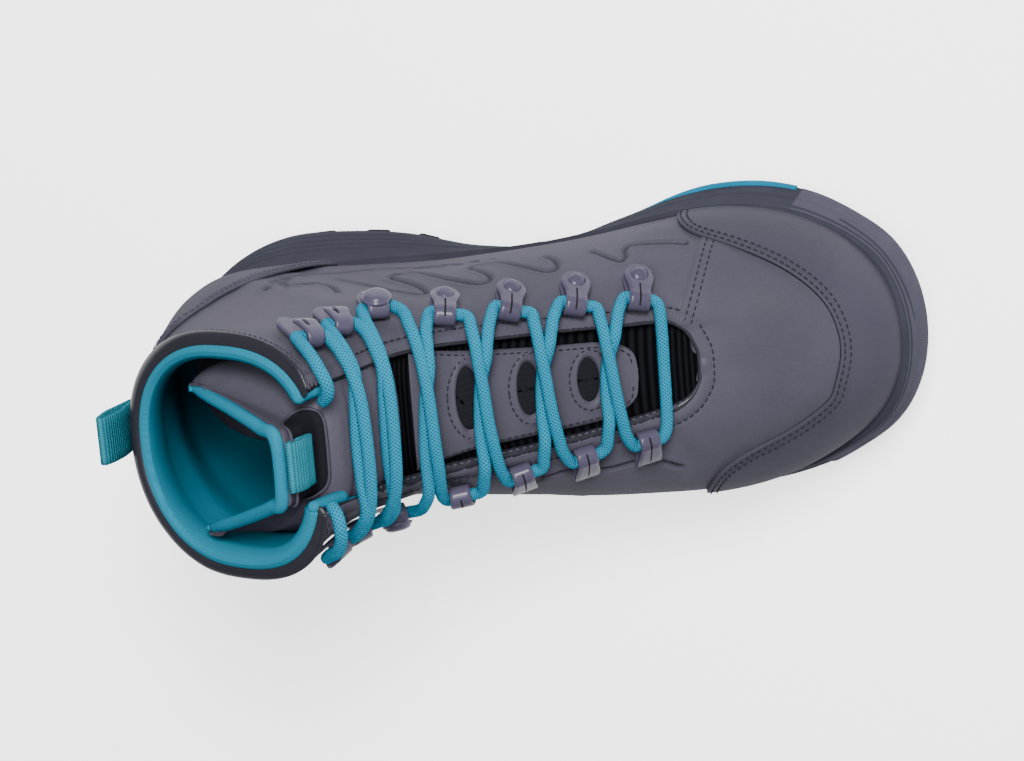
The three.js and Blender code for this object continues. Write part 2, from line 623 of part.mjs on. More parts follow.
// The coloured spine down the middle of the sole, a half outline of [share of LENGTH, share of LAST_LATERAL].
const SPINE = [
  [0.062, 0.14], [0.105, 0.33], [0.13, 0.17], [0.165, 0.2], [0.18, 0.5], [0.2, 0.36], [0.235, 0.56],
  [0.24, 0.22], [0.28, 0.2], [0.3, 0.44], [0.335, 0.3], [0.38, 0.14], [0.46, 0.14], [0.52, 0.22],
  [0.55, 0.4], [0.585, 0.24], [0.61, 0.46], [0.65, 0.24], [0.69, 0.26], [0.715, 0.48], [0.75, 0.26],
  [0.8, 0.34], [0.84, 0.12],
];
function spinePlan(grow) {
  const half = SPINE.map(([x, y]) => [x * LENGTH, y * LAST_LATERAL + 3 * grow]);
  half[0][0] -= grow;
  half[half.length - 1][0] += grow;
  return [...half, ...half.map(([x, y]) => [x, -y]).reverse()];
}
const SPINE_FLOOR = 1.6; // the spine's base stands this much below the outsole's
const spineBase = planPrism(spinePlan(0))
  .intersect(sideBand((x) => bottomAt(x) + LUG_DEPTH - SPINE_FLOOR, (x) => bottomAt(x) + LUG_DEPTH + LUG_ROOT));
const spineCut = planPrism(spinePlan(GAP))
  .intersect(sideBand((x) => bottomAt(x) - LUG_DEPTH, (x) => bottomAt(x) + LUG_DEPTH + LUG_ROOT + GAP));

let outsole = outsoleBase;
for (const one of edgeLugs()) outsole = outsole.add(one.intersect(lugSpace));
for (const [x, y] of INNER_LUGS)
  outsole = outsole.add(lug(x * LENGTH, y * LAST_LATERAL, INNER_LUG_SIZE, 0.3).intersect(lugSpace));
outsole = outsole.add(heelLug.intersect(lugSpace));
add("outsole", outsole.subtract(spineCut), finishes.rubber);

let spine = spineBase;
for (const [x, y, grow] of SPINE_LUGS)
  spine = spine.add(lug(x * LENGTH, y * LAST_LATERAL, INNER_LUG_SIZE * grow, 0).intersect(lugSpace));
add("outsole_spine", spine.intersect(planPrism(spinePlan(0))), finishes.accent);

// Insole on the midsole, inside the upper.
const insoleBand = aboveFeather(GAP).subtract(aboveFeather(GAP + INSOLE));
const insolePlan = edgeRing(0, -WALL - INSOLE_CLEAR).map((p) => [p.x, p.y]);
add("insole", prism(insolePlan, 0, FRONT_HEIGHT).intersect(insoleBand), finishes.dark);

// Tongue: a padded strip under the throat whose top wraps round inside the collar.
// cover: half angle that it covers, in degrees. wing: how far its sides lean inwards, share of COLLAR_PAD.
const TONGUE_COLUMNS = ["station", "cover", "wing"];
const TONGUE_ROWS = [
  [5.5, 24, 0],
  [6.5, 30, 0],
  [8, 36, 0],
  [9.5, 42, 0],
  [11, 48, 0],
  [12.4, 52, 0],
  [13.8, 58, 0],
  [15.2, 66, 0.1],
  [16.4, 78, 0.3],
  [17.3, 90, 0.6],
  [18, 100, 0.9],
];
const TONGUE_SEAT = 0.4; // tongue to upper where it is sewn in, under the vamp
const TONGUE_CLEAR = 0.8; // more than that under the throat, besides the cover
const TONGUE_SIDES = 9; // points across
const radians = (degrees) => (degrees * Math.PI) / 180;
const tongueTop = (station) =>
  -wallAt(station) - TONGUE_SEAT - (TONGUE_CLEAR + TONGUE_COVER) * smooth((station - 5.6) / 1.2);

function tonguePoint(row, share, depth) {
  const { station, cover, wing } = named(TONGUE_COLUMNS, row);
  const angle = radians(cover) * share;
  const lean = wing * COLLAR_PAD * smooth((Math.abs(share) - 0.35) / 0.65);
  const edge = depth * (0.25 + 0.75 * Math.cos((share * Math.PI) / 2.3));
  return formOffset(station, angle, tongueTop(station) - lean - edge);
}
const shares = Array.from({ length: TONGUE_SIDES }, (_, i) => (2 * i) / (TONGUE_SIDES - 1) - 1);
const tongueRing = (row) => [
  ...shares.map((share) => tonguePoint(row, share, 0)),
  ...shares.map((share) => tonguePoint(row, share, TONGUE)).reverse(),
];
const collarUp = formPoint(COLLAR, 0).sub(formPoint(COLLAR - 1, 0)).normalize();
const lastRow = TONGUE_ROWS[TONGUE_ROWS.length - 1];
const raisedRing = (ring, rise) => ring.map((p, i) => {
  const share = shares[i < TONGUE_SIDES ? i : 2 * TONGUE_SIDES - 1 - i];
  return p.clone().addScaledVector(collarUp, rise * (1 - 0.55 * share * share));
});
const tongueBody = loft([...TONGUE_ROWS.map(tongueRing), raisedRing(tongueRing(lastRow), TONGUE_RISE)], true);
add("tongue", tongueBody, finishes.upper);

// The smooth cover strip on the tongue, with three oval vents, and the patch at the tongue's top.
function tongueStrip(rows, out, lift) {
  const rings = rows.map(([station, from, to]) => {
    const across = Array.from({ length: 5 }, (_, i) => radians(from + ((to - from) * i) / 4));
    const low = tongueTop(station) + lift;
    return [
      ...across.map((a) => formOffset(station, a, low + out)),
      ...across.reverse().map((a) => formOffset(station, a, low)),
    ];
  });
  return loft(rings, true);
}
// [station, from, to] in degrees round the upper.
const COVER_ROWS = [
  [6.95, -5, 5], [7.15, -10, 10], [7.5, -13, 13], [8.2, -15, 15], [9, -17, 17], [10, -20, 20], [10.8, -24, 24],
];
const VENTS = [7.95, 8.75, 9.6]; // stations of the vents
const VENT_LONG = 8.5; // half length, across the foot
const VENT_WIDE = 3;
let cover = tongueStrip(COVER_ROWS, TONGUE_COVER, COVER_LIFT);
for (const station of VENTS) {
  const at = formPoint(station, 0);
  const oval = Array.from({ length: 10 }, (_, i) => {
    const a = (2 * Math.PI * i) / 10;
    return [at.x + VENT_WIDE * Math.cos(a), at.y + VENT_LONG * Math.sin(a)];
  });
  cover = cover.subtract(prism(oval, 0, FRONT_HEIGHT));
}
add("tongue_cover", cover, finishes.upper);
const PATCH_ROWS = [[16.7, -8, 10], [17.0, -17, 18], [17.5, -21, 21], [18, -22, 22]];
add("tongue_patch", tongueStrip(PATCH_ROWS, TONGUE_COVER, PATCH_LIFT), finishes.dark);

// A closed loop of webbing: a flat ring in its own X (depth) and Y (height), as wide as the webbing.
function webLoop(height, depth, width) {
  const ring = (inset) => {
    const r = depth / 2 - inset;
    const top = height - depth / 2;
    const arc = Array.from({ length: 7 }, (_, i) => (Math.PI * i) / 6);
    return [
      ...arc.map((a) => new THREE.Vector2(r * Math.cos(a), top + r * Math.sin(a))),
      ...arc.map((a) => new THREE.Vector2(-r * Math.cos(a) * 0.8, depth / 2 - r * Math.sin(a))),
    ];
  };
  const shape = new THREE.Shape(ring(0));
  shape.holes.push(new THREE.Path(ring(WEB)));
  const geometry = new THREE.ExtrudeGeometry(shape, { depth: width, bevelEnabled: false });
  return geometry.translate(0, 0, -width / 2);
}

// Places a geometry with its X, Y and Z along the three directions given.
function placed(geometry, at, x, y, z) {
  return geometry.applyMatrix4(new THREE.Matrix4().makeBasis(x, y, z).setPosition(at));
}

const sideways = new THREE.Vector3(0, 1, 0);
{
  const station = 17.05;
  const out = formNormal(COLLAR - 0.5, Math.PI).setY(0).normalize();
  const up = new THREE.Vector3().crossVectors(sideways, out).normalize();
  const seat = formPoint(station, Math.PI).addScaledVector(out, COLLAR_ROLL - GAP + PULL_DEPTH / 2);
  const ring = webLoop(PULL_HEIGHT, PULL_DEPTH, WEB_WIDTH);
  add("heel_pull_loop", solid(placed(ring, seat, out, up, sideways)), finishes.webbing);
}
{
  const out = formNormal(17.5, 0);
  const up = new THREE.Vector3().crossVectors(out, sideways).normalize();
  const seat = formPoint(17.5, 0)
    .addScaledVector(out, tongueTop(17.5) + PATCH_LIFT + TONGUE_COVER + GAP + TAB_DEPTH / 2);
  const ring = webLoop(TAB_HEIGHT, TAB_DEPTH, WEB_WIDTH);
  add("tongue_pull_loop", solid(placed(ring, seat, out, up, sideways.clone().negate())), finishes.webbing);
}

// Lace loops and hooks: rows of [name, station, angle inside, angle outside, lace clearance], degrees at the lace.
const LOOPS = [
  [1, 6.85, 29, -22, -0.6],
  [2, 7.95, 32, -25, -0.1],
  [3, 9.12, 35, -31, 0.5],
  [4, 10.6, 39, -43, 0.6],
];
const HOOKS = [
  [1, 12.4, 51, -56, 1.1],
  [2, 13.95, 46, -50, 1.2],
  [3, 15.9, 49, -46, 1],
];
const HOLE_WIDE = LACE / 2 + LACE_PLAY + 0.3; // half opening, towards the throat
const HOLE_HIGH = LACE / 2 - 0.2; // half opening, upwards
const laceHeight = LOOP_THICK + HOLE_HIGH + GAP; // middle of a lace in its loop, above the upper

// Where a fitting sits: towards is the direction to the throat, along the way the lace passes.
function seatAt(station, degrees) {
  const angle = radians(degrees);
  const at = formPoint(station, angle);
  const out = formNormal(station, angle);
  const towards = formPoint(station, angle - 0.04 * Math.sign(degrees)).sub(at);
  towards.addScaledVector(out, -towards.dot(out)).normalize();
  const along = new THREE.Vector3().crossVectors(towards, out);
  return { at: at.addScaledVector(out, 2 * GAP), out, towards, along };
}

function rivetDome(height) {
  const profile = [[0, 0], [RIVET, 0], [0.85 * RIVET, 0.65 * height], [0, height]];
  return new THREE.LatheGeometry(profile.map(([r, y]) => new THREE.Vector2(r, y)), 6);
}

const oval = (wide, high, from, to, steps, middle) => Array.from({ length: steps + 1 }, (_, i) => {
  const a = from + ((to - from) * i) / steps;
  return new THREE.Vector2(wide * Math.cos(a), middle + high * Math.sin(a));
});

function laceLoop() {
  const middle = LOOP_THICK + HOLE_HIGH;
  const shape = new THREE.Shape([
    new THREE.Vector2(-LOOP_LENGTH + HOLE_WIDE, 0),
    new THREE.Vector2(0.6 * HOLE_WIDE, 0),
    ...oval(HOLE_WIDE + LOOP_THICK, HOLE_HIGH + LOOP_THICK, -0.4, 2.4, 4, middle),
    new THREE.Vector2(-0.55 * LOOP_LENGTH, 2 * LOOP_THICK),
    new THREE.Vector2(-LOOP_LENGTH + HOLE_WIDE, 1.4 * LOOP_THICK),
  ]);
  shape.holes.push(new THREE.Path(oval(HOLE_WIDE, HOLE_HIGH, 0, 1.7 * Math.PI, 6, middle)));
  const strap = new THREE.ExtrudeGeometry(shape, { depth: LOOP_WIDTH, bevelEnabled: false });
  strap.translate(0, 0, -LOOP_WIDTH / 2);
  const dome = rivetDome(1.6 * LOOP_THICK).translate(-LOOP_LENGTH + HOLE_WIDE + RIVET, 1.3 * LOOP_THICK, 0);
  return solid(strap).add(solid(dome));
}

function laceHook(size) {
  const middle = LOOP_THICK + HOLE_HIGH;
  const wide = HOLE_WIDE + LOOP_THICK;
  const high = HOLE_HIGH + LOOP_THICK;
  const shape = new THREE.Shape([
    new THREE.Vector2(-0.8 * LOOP_LENGTH, 0),
    ...oval(wide, high, -1.3, 1.6, 5, middle),
    new THREE.Vector2(-1.3 * wide, middle + 0.95 * high),
    new THREE.Vector2(-1.3 * wide, middle + 0.6 * high),
    ...oval(HOLE_WIDE, HOLE_HIGH, 1.6, -1.3, 5, middle),
    new THREE.Vector2(-0.8 * LOOP_LENGTH, LOOP_THICK),
  ]);
  const plate = new THREE.ExtrudeGeometry(shape, { depth: HOOK_WIDTH * size, bevelEnabled: false });
  plate.translate(0, 0, (-HOOK_WIDTH * size) / 2);
  const dome = rivetDome(1.2 * LOOP_THICK).translate(-0.8 * LOOP_LENGTH + RIVET, 0.8 * LOOP_THICK, 0);
  return solid(plate).add(solid(dome));
}

const seats = { medial: [], lateral: [] };
function addFittings(rows, label, make, halfWidth) {
  for (const [number, station, inside, outside, clear] of rows) {
    for (const [side, degrees] of [["medial", inside], ["lateral", outside]]) {
      const seat = seatAt(station, degrees);
      const geometry = geometryOf(make(number));
      placed(geometry, seat.at, seat.towards, seat.out, seat.along);
      add(`${label}_${side}_${number}`, solid(geometry), finishes.hardware);
      seats[side].push({ station, degrees, reach: halfWidth(number) + clear });
    }
  }
}
const FIRST_HOOK = 1.15; // the lowest hook is this much wider
addFittings(LOOPS, "lace_loop", () => laceLoop(), () => LOOP_WIDTH / 2);
const hookSize = (number) => (number === 1 ? FIRST_HOOK : 1);
addFittings(HOOKS, "lace_hook", (n) => laceHook(hookSize(n)), (n) => (HOOK_WIDTH * hookSize(n)) / 2);

// Laces: each strand runs over the form from one fitting to the next, [station, degrees, height above it].
const LACE_SIDES = 8;
function strand(points, steps) {
  const curve = new THREE.CatmullRomCurve3(
    points.map(([station, degrees, out]) => formOffset(station, radians(degrees), out)));
  const section = new THREE.Shape(Array.from({ length: LACE_SIDES }, (_, i) => {
    const a = (2 * Math.PI * (i + 0.5)) / LACE_SIDES;
    return new THREE.Vector2((LACE / 2) * Math.cos(a), (LACE / 2) * Math.sin(a));
  }));
  return solid(new THREE.ExtrudeGeometry(section, { steps, extrudePath: curve, bevelEnabled: false }));
}

// Stations that a fitting's half width and its clearance take up along the boot.
const LACE_START = 3.6; // lace end's middle to the side of its fitting
function besides({ station, degrees, reach }, heelwards) {
  const here = formPoint(station, radians(degrees));
  const next = formPoint(station + 0.1, radians(degrees));
  return station + (heelwards ? 1 : -1) * ((reach + LACE_START) * 0.1) / next.distanceTo(here);
}
const MIDDLE_LOW = 1.6; // height of the lower strand over the throat
const EDGE_LIFT = 2.1; // a lace's rise where it passes the throat's edge
const MIDDLE_HIGH = MIDDLE_LOW + 0.92 * LACE;
function crossing(from, to, high) {
  const s0 = besides(from, true);
  const s1 = besides(to, false);
  const mid = high ? MIDDLE_HIGH : MIDDLE_LOW;
  const rows = [0, 0.12, 0.25, 0.38, 0.5, 0.62, 0.75, 0.88, 1].map((f) => {
    const arch = smooth((0.5 - Math.abs(f - 0.5) - 0.29) / 0.2);
    return [s0 + (s1 - s0) * f, from.degrees + (to.degrees - from.degrees) * smooth(f),
      laceHeight + EDGE_LIFT * Math.sin(Math.PI * f) + (mid - laceHeight - EDGE_LIFT) * arch];
  });
  return strand(rows, 4);
}
{
  const [a, b] = [seats.medial[0], seats.lateral[0]];
  const [s0, s1] = [besides(a, false), besides(b, false)];
  const rows = [0, 0.3, 0.7, 1].map((f) => [
    s0 + (s1 - s0) * f - 0.12 * Math.sin(Math.PI * f),
    a.degrees + (b.degrees - a.degrees) * f,
    laceHeight + (MIDDLE_LOW - laceHeight) * Math.sin(Math.PI * f) ** 2,
  ]);
  add("lace_bar", strand(rows, 6), finishes.lace);
}
const MEDIAL_OVER = 4; // in this crossing the strand from the inner side lies on top
for (let i = 0; i + 1 < seats.medial.length; i++) {
  const fromMedial = crossing(seats.medial[i], seats.lateral[i + 1], i === MEDIAL_OVER);
  const fromLateral = crossing(seats.lateral[i], seats.medial[i + 1], i !== MEDIAL_OVER);
  add(`lace_cross_${i + 1}`, fromMedial.add(fromLateral), finishes.lace);
}

// The lace's two ends leave the top hooks, turn over the collar's front and go in beside the tongue.
// step: stations past the top hook. turn: share of the way from the hook's angle to the throat's edge.
const END_COLUMNS = ["step", "turn", "out"];
const END_ROWS = [
  [0.0, 0.0, 1],
  [0.2, 0.12, 1.25],
  [0.38, 0.38, 1.5],
  [0.48, 0.66, 1.7],
  [0.5, 0.9, 1.8],
];
const END_CLOSER = 1; // an end starts this much closer to its hook than a slanting strand
const END_ANGLE = { medial: 24, lateral: -20 };
for (const side of ["medial", "lateral"]) {
  const hook = seats[side][seats[side].length - 1];
  const start = besides({ ...hook, reach: hook.reach - END_CLOSER }, true);
  const rows = END_ROWS.map((row) => {
    const { step, turn, out } = named(END_COLUMNS, row);
    return [start + step, hook.degrees + (END_ANGLE[side] - hook.degrees) * turn, laceHeight * out];
  });
  add(`lace_end_${side}`, strand(rows, 8), finishes.lace);
}

// The origin is the middle of the bounding box, on the floor.
boot.updateMatrixWorld(true);
const box = new THREE.Box3().setFromObject(boot);
boot.position.set(-(box.min.x + box.max.x) / 2, -(box.min.y + box.max.y) / 2, -box.min.z);

export default boot;
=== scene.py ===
import math

import bmesh
import bpy
import numpy as np
from mathutils import Matrix, Vector


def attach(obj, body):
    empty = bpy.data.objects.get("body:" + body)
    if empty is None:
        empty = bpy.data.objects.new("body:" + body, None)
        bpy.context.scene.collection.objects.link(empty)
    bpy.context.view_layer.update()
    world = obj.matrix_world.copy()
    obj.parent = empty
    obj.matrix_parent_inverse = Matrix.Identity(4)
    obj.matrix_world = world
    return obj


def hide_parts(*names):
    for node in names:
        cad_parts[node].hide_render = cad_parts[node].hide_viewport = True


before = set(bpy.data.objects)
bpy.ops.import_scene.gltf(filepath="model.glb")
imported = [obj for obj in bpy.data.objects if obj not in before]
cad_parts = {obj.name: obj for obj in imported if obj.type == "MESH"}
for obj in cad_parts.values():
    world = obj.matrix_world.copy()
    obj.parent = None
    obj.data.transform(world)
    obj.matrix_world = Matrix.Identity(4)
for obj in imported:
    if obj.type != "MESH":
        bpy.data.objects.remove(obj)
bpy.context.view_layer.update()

# The boot's sizes in millimetres. X runs from the heel's back to the toe, Y to the inner side, Z up.
LENGTH = 288.0
FRONT_HEIGHT = 186.0
LAST_MEDIAL = 48.5  # half width on the inner side
LAST_LATERAL = 55.5  # half width on the outer side
LEAN = 7.0  # how far the shaft stands over to the outer side
WALL = 2.4
PAD = 8.0  # wall with the collar's padding
OVERLAY = 1.6  # toe cap and heel counter
FEATHER = 31.0  # height at which upper and sole meet
FLARE = 13.0  # how far the sole stands out under the upper
RIM = 2.6  # thickness of the sole's rim round the upper
CUP = 17.0  # rise of the rim round the heel
BUMPER_RISE = 15.0  # rise of the rim at the toe
OUTSOLE = 13.0
LUG_DEPTH = 5.5
TOE_SPRING = 16.0
ARCH_RISE = 8.0
COLLAR = 18.0  # last station of the form, at the collar's rim
# Moves the boot from its heel's back and the sole's axis to the middle of its bounding box.
ORIGIN = np.array([-143.401, 2.233, 0.0])
STITCH_LENGTH = 1.8
STITCH_SPACE = 0.8
STITCH_RADIUS = 0.28
# In metres.
WELD_DISTANCE = 2e-5
SHORTEST_EDGE = 1e-6


def place(points):
    return (np.asarray(points, float) + ORIGIN) / 1000.0


# Camera, at the photograph's angle to the boot, turned until the boot is in the middle.
LENS = 88.0
SENSOR_WIDTH = 36.0


def add_camera():
    camera = bpy.data.objects.new("camera", bpy.data.cameras.new("camera"))
    bpy.context.collection.objects.link(camera)
    camera.data.lens = LENS
    camera.data.sensor_width = SENSOR_WIDTH
    right = (0.9712245, -0.0806117, -0.2241089)
    up = (0.0317407, 0.9763938, -0.2136528)
    back = (0.2360414, 0.2003916, 0.9508563)
    spot = place((358.628, 180.918, 958.895))
    camera.matrix_world = Matrix([[right[i], up[i], back[i], spot[i]] for i in range(3)] + [[0, 0, 0, 1]])
    bpy.context.scene.camera = camera


add_camera()


# Curves and tables.
def smooth(x):
    t = np.clip(x, 0.0, 1.0)
    return t * t * (3 - 2 * t)


def ridge(distance, half_width):
    # 1 in the middle, fading on both sides
    return np.exp(-(distance / half_width) ** 2)


def run_along(line):
    # the distance from a line's start to each of its points
    return np.concatenate([[0], np.cumsum(np.linalg.norm(np.diff(line, axis=0), axis=1))])


def along_line(line, values, places):
    # values given at a line's points, read at distances from its start
    run = run_along(line)
    return np.stack([np.interp(places, run, values[:, k]) for k in range(values.shape[1])], axis=-1)


def spline(rows, u, before=None, after=None):
    rows = np.asarray(rows, float)
    before = 2 * rows[0] - rows[1] if before is None else np.asarray(before, float)
    after = 2 * rows[-1] - rows[-2] if after is None else np.asarray(after, float)
    full = np.vstack([before, rows, after])
    u = np.clip(np.asarray(u, float), 0, len(rows) - 1)
    i = np.minimum(u.astype(int), len(rows) - 2)
    f = (u - i)[..., None]
    a, b, c, d = full[i], full[i + 1], full[i + 2], full[i + 3]
    return b + 0.5 * f * (c - a + f * (2 * a - 5 * b + 4 * c - d + f * (3 * b - a - 3 * c + d)))


def curve_through(points, step):
    # points of an even step along a smooth curve through the given ones
    points = np.asarray(points, float)
    fine = spline(points, np.linspace(0, len(points) - 1, 24 * len(points)))
    run = run_along(fine)[-1]
    return along_line(fine, fine, np.linspace(0, run, max(2, int(round(run / step)) + 1)))


# Sections of the upper as shares of its sizes: front point along the boot and upwards, back point along
# the boot and upwards, half widths, widest place, squareness in front and behind, lean.
SECTIONS = np.array([
    [0.979, 0.215, 0.979, 0.215, 0.0, 0.0, 0.5, 2.4, 2.4, 0],
    [0.969, 0.285, 0.969, 0.14, 0.31, 0.27, 0.45, 2.4, 2.4, 0],
    [0.941, 0.331, 0.941, 0.091, 0.577, 0.505, 0.4, 2.4, 2.6, 0],
    [0.896, 0.366, 0.896, 0.065, 0.773, 0.703, 0.36, 2.4, 3, 0],
    [0.84, 0.398, 0.84, 0.065, 0.918, 0.865, 0.34, 2.4, 3, 0],
    [0.781, 0.433, 0.781, 0.065, 0.99, 0.964, 0.34, 2.3, 3, 0],
    [0.719, 0.473, 0.719, 0.065, 1.0, 1.0, 0.36, 2.3, 3, 0],
    [0.653, 0.53, 0.653, 0.054, 0.948, 0.991, 0.38, 2.3, 3, 0],
    [0.587, 0.594, 0.587, 0.054, 0.887, 0.946, 0.42, 2.4, 3, 0],
    [0.524, 0.656, 0.524, 0.054, 0.845, 0.874, 0.46, 2.5, 3, 0],
    [0.476, 0.71, 0.444, 0.054, 0.814, 0.811, 0.5, 2.6, 3, 0],
    [0.441, 0.755, 0.34, 0.054, 0.784, 0.757, 0.5, 2.7, 2.8, 0.07],
    [0.413, 0.801, 0.215, 0.043, 0.784, 0.739, 0.5, 2.8, 2.6, 0.22],
    [0.394, 0.844, 0.097, 0.054, 0.8, 0.735, 0.48, 2.9, 2.4, 0.42],
    [0.378, 0.882, 0.021, 0.172, 0.82, 0.745, 0.46, 3.0, 2.3, 0.6],
    [0.366, 0.917, 0.01, 0.333, 0.825, 0.755, 0.46, 3.0, 2.2, 0.74],
    [0.358, 0.946, 0.024, 0.495, 0.822, 0.765, 0.48, 2.9, 2.2, 0.86],
    [0.351, 0.973, 0.045, 0.656, 0.818, 0.778, 0.5, 2.8, 2.2, 0.95],
    [0.347, 1.0, 0.066, 0.817, 0.815, 0.792, 0.5, 2.6, 2.2, 1],
])
PAST_TOE = SECTIONS[1][[0, 3, 2, 1, 4, 5, 6, 7, 8, 9]] * [1, 1, 1, 1, -1, -1, 1, 1, 1, 1]


def form(s, a):
    # station s along the boot, angle a in degrees round it: 0 in front, positive on the inner side
    s, a = np.broadcast_arrays(np.asarray(s, float), np.radians(np.asarray(a, float)))
    row = np.moveaxis(spline(SECTIONS, s, PAST_TOE), -1, 0)
    front_x, front_z, back_x, back_z, medial, lateral, widest, front_power, back_power, lean = row
    c, w = np.cos(a), np.sin(a)
    power = 2 / np.where(c >= 0, front_power, back_power)
    along = np.abs(c) ** power
    share = np.where(c >= 0, widest + (1 - widest) * along, widest * (1 - along))
    half = np.where(w >= 0, medial * LAST_MEDIAL, -lateral * LAST_LATERAL)
    x = LENGTH * (back_x + (front_x - back_x) * share)
    z = FRONT_HEIGHT * (back_z + (front_z - back_z) * share)
    y = half * np.abs(w) ** power - lean * LEAN * smooth((z / FRONT_HEIGHT - 0.27) / 0.54)
    return np.stack([x, y, z], axis=-1)


FACING_TOP = 17.7  # last station at which the throat edge is looked up
PAD_START = 15.0  # station at which the padding begins
SHAFT_TOP = 17.6  # station at which the lining turns into the collar's band


def unit(v):
    return v / np.maximum(np.linalg.norm(v, axis=-1, keepdims=True), 1e-9)


def form_normal(s, a):
    s, a = np.broadcast_arrays(np.asarray(s, float), np.asarray(a, float))
    h = 4e-3
    along = form(np.minimum(s + h, COLLAR), a) - form(np.maximum(s - h, 0), a)
    around = form(s, a + 0.4) - form(s, a - 0.4)
    n = unit(np.cross(around, along))
    return np.where((s < 0.02)[..., None], np.array([1.0, 0, 0]), n)


def form_at(s, a, out=0.0):
    return form(s, a) + form_normal(s, a) * np.asarray(out, float)[..., None]


COLLAR_UP = unit(form(18.0, 0) - form(17.0, 0))


def feather_at(x):
    return FEATHER * np.interp(x / LENGTH, [0, 0.3, 0.45, 0.7, 0.85, 0.97], [1.02, 1, 0.98, 0.92, 0.98, 1.12])


def feather_angle(s, side, below=2.0):
    # angle at which the upper meets the sole
    a = np.linspace(40, 180, 561)
    p = form(s, side * a)
    drop = p[:, 2] - (feather_at(p[:, 0]) - below)
    under = np.nonzero(drop < 0)[0]
    if not len(under):
        return 180.0
    i = max(under[0], 1)
    return float(a[i - 1] + (a[i] - a[i - 1]) * drop[i - 1] / (drop[i - 1] - drop[i]))


# The throat's two edges in plan: place along the boot, inner edge, outer edge.
THROAT = np.array([
    [0.7375, 0.0, 0.0],
    [0.7365, 0.045, 0.045],
    [0.733, 0.12, 0.12],
    [0.724, 0.22, 0.2],
    [0.712, 0.28, 0.255],
    [0.695, 0.315, 0.288],
    [0.65, 0.325, 0.335],
    [0.59, 0.343, 0.385],
    [0.52, 0.355, 0.42],
    [0.45, 0.37, 0.46],
    [0.4, 0.36, 0.5],
    [0.35, 0.31, 0.47],
    [0.29, 0.31, 0.47],
])
THROAT_LINE = spline(THROAT, np.linspace(0, len(THROAT) - 1, 400))[::-1]


def throat_angle(s, side):
    a = np.linspace(0, 75, 601)
    p = form(s, side * a)
    edge = np.interp(p[:, 0] / LENGTH, THROAT_LINE[:, 0], THROAT_LINE[:, 1 if side > 0 else 2], right=0.0)
    over = np.abs(p[:, 1]) * np.sign(p[:, 1] * side) - edge * LAST_LATERAL
    if p[0, 0] > 0.7375 * LENGTH:
        return 0.0
    i = max(int(np.argmax(over > 0)), 1)
    return float(a[i - 1] + (a[i] - a[i - 1]) * over[i - 1] / (over[i - 1] - over[i] - 1e-9))


# The quarter's curved top edge.
def quarter_top(a):
    turn = math.pi - np.abs(math.pi - np.abs(np.radians(a)) % (2 * math.pi))
    return COLLAR - np.interp(turn, [0, 1.2, 1.9, 2.35, math.pi], [0.3, 0.3, 0.38, 0.8, 0.85])


def upper_station(s, a):
    # stations from the padding's start on are spread up to the quarter's top edge
    return np.where(s <= PAD_START, s, PAD_START + (quarter_top(a) - PAD_START) * (s - PAD_START))


# Pieces from grids of points.
def new_piece(name, points, faces, finish, uv=None):
    mesh = bpy.data.meshes.new(name)
    mesh.from_pydata(place(points).tolist(), [], [list(map(int, f)) for f in faces])
    if uv is not None:
        layer = mesh.uv_layers.new(name="UVMap")
        loops = np.empty(len(mesh.loops), dtype=np.int32)
        mesh.loops.foreach_get("vertex_index", loops)
        layer.data.foreach_set("uv", np.asarray(uv, np.float32)[loops].ravel())
    mesh.validate()
    mesh.update()
    mesh.polygons.foreach_set("use_smooth", [True] * len(mesh.polygons))
    piece = bpy.data.objects.new(name, mesh)
    bpy.context.collection.objects.link(piece)
    piece.data.materials.append(finish)
    return piece


def grid_faces(rows, columns, around=False, flip=False, start=0):
    r, c = np.meshgrid(np.arange(rows - 1), np.arange(columns if around else columns - 1), indexing="ij")
    d = (c + 1) % columns
    low, high = r * columns, (r + 1) * columns
    quads = np.stack([low + c, low + d, high + d, high + c], axis=-1).reshape(-1, 4) + start
    return quads[:, ::-1] if flip else quads


def closed_rings(rows, columns):
    # a grid of rings with a face over each end
    faces = grid_faces(rows, columns, around=True).tolist()
    last = (rows - 1) * columns
    return faces + [list(range(columns))[::-1], [last + k for k in range(columns)]]


def closed_plan(rows, count):
    # a grid of rings round the boot's plan, closed below and above by strips from side to side
    faces = grid_faces(rows, count, around=True).tolist()
    for base, turned in ((0, True), ((rows - 1) * count, False)):
        for j in range(count // 2):
            quad = [base + j, base + j + 1, base + (count - j - 1) % count, base + (count - j) % count]
            faces.append(quad[::-1] if turned else quad)
    return faces


def choose(piece):
    bpy.ops.object.select_all(action="DESELECT")
    piece.select_set(True)
    bpy.context.view_layer.objects.active = piece


def weld(piece, outwards=False):
    body = bmesh.new()
    body.from_mesh(piece.data)
    bmesh.ops.remove_doubles(body, verts=body.verts, dist=WELD_DISTANCE)
    bmesh.ops.dissolve_degenerate(body, edges=body.edges, dist=SHORTEST_EDGE)
    if outwards:
        bmesh.ops.recalc_face_normals(body, faces=body.faces)
    body.to_mesh(piece.data)
    body.free()


def apply(piece, kind, **settings):
    choose(piece)
    modifier = piece.modifiers.new(kind.title(), kind)
    for key, value in settings.items():
        setattr(modifier, key, value)
    bpy.ops.object.modifier_apply(modifier=modifier.name)


def thicken(piece, thickness, **settings):
    apply(piece, "SOLIDIFY", thickness=thickness / 1000, offset=-1.0, **settings)


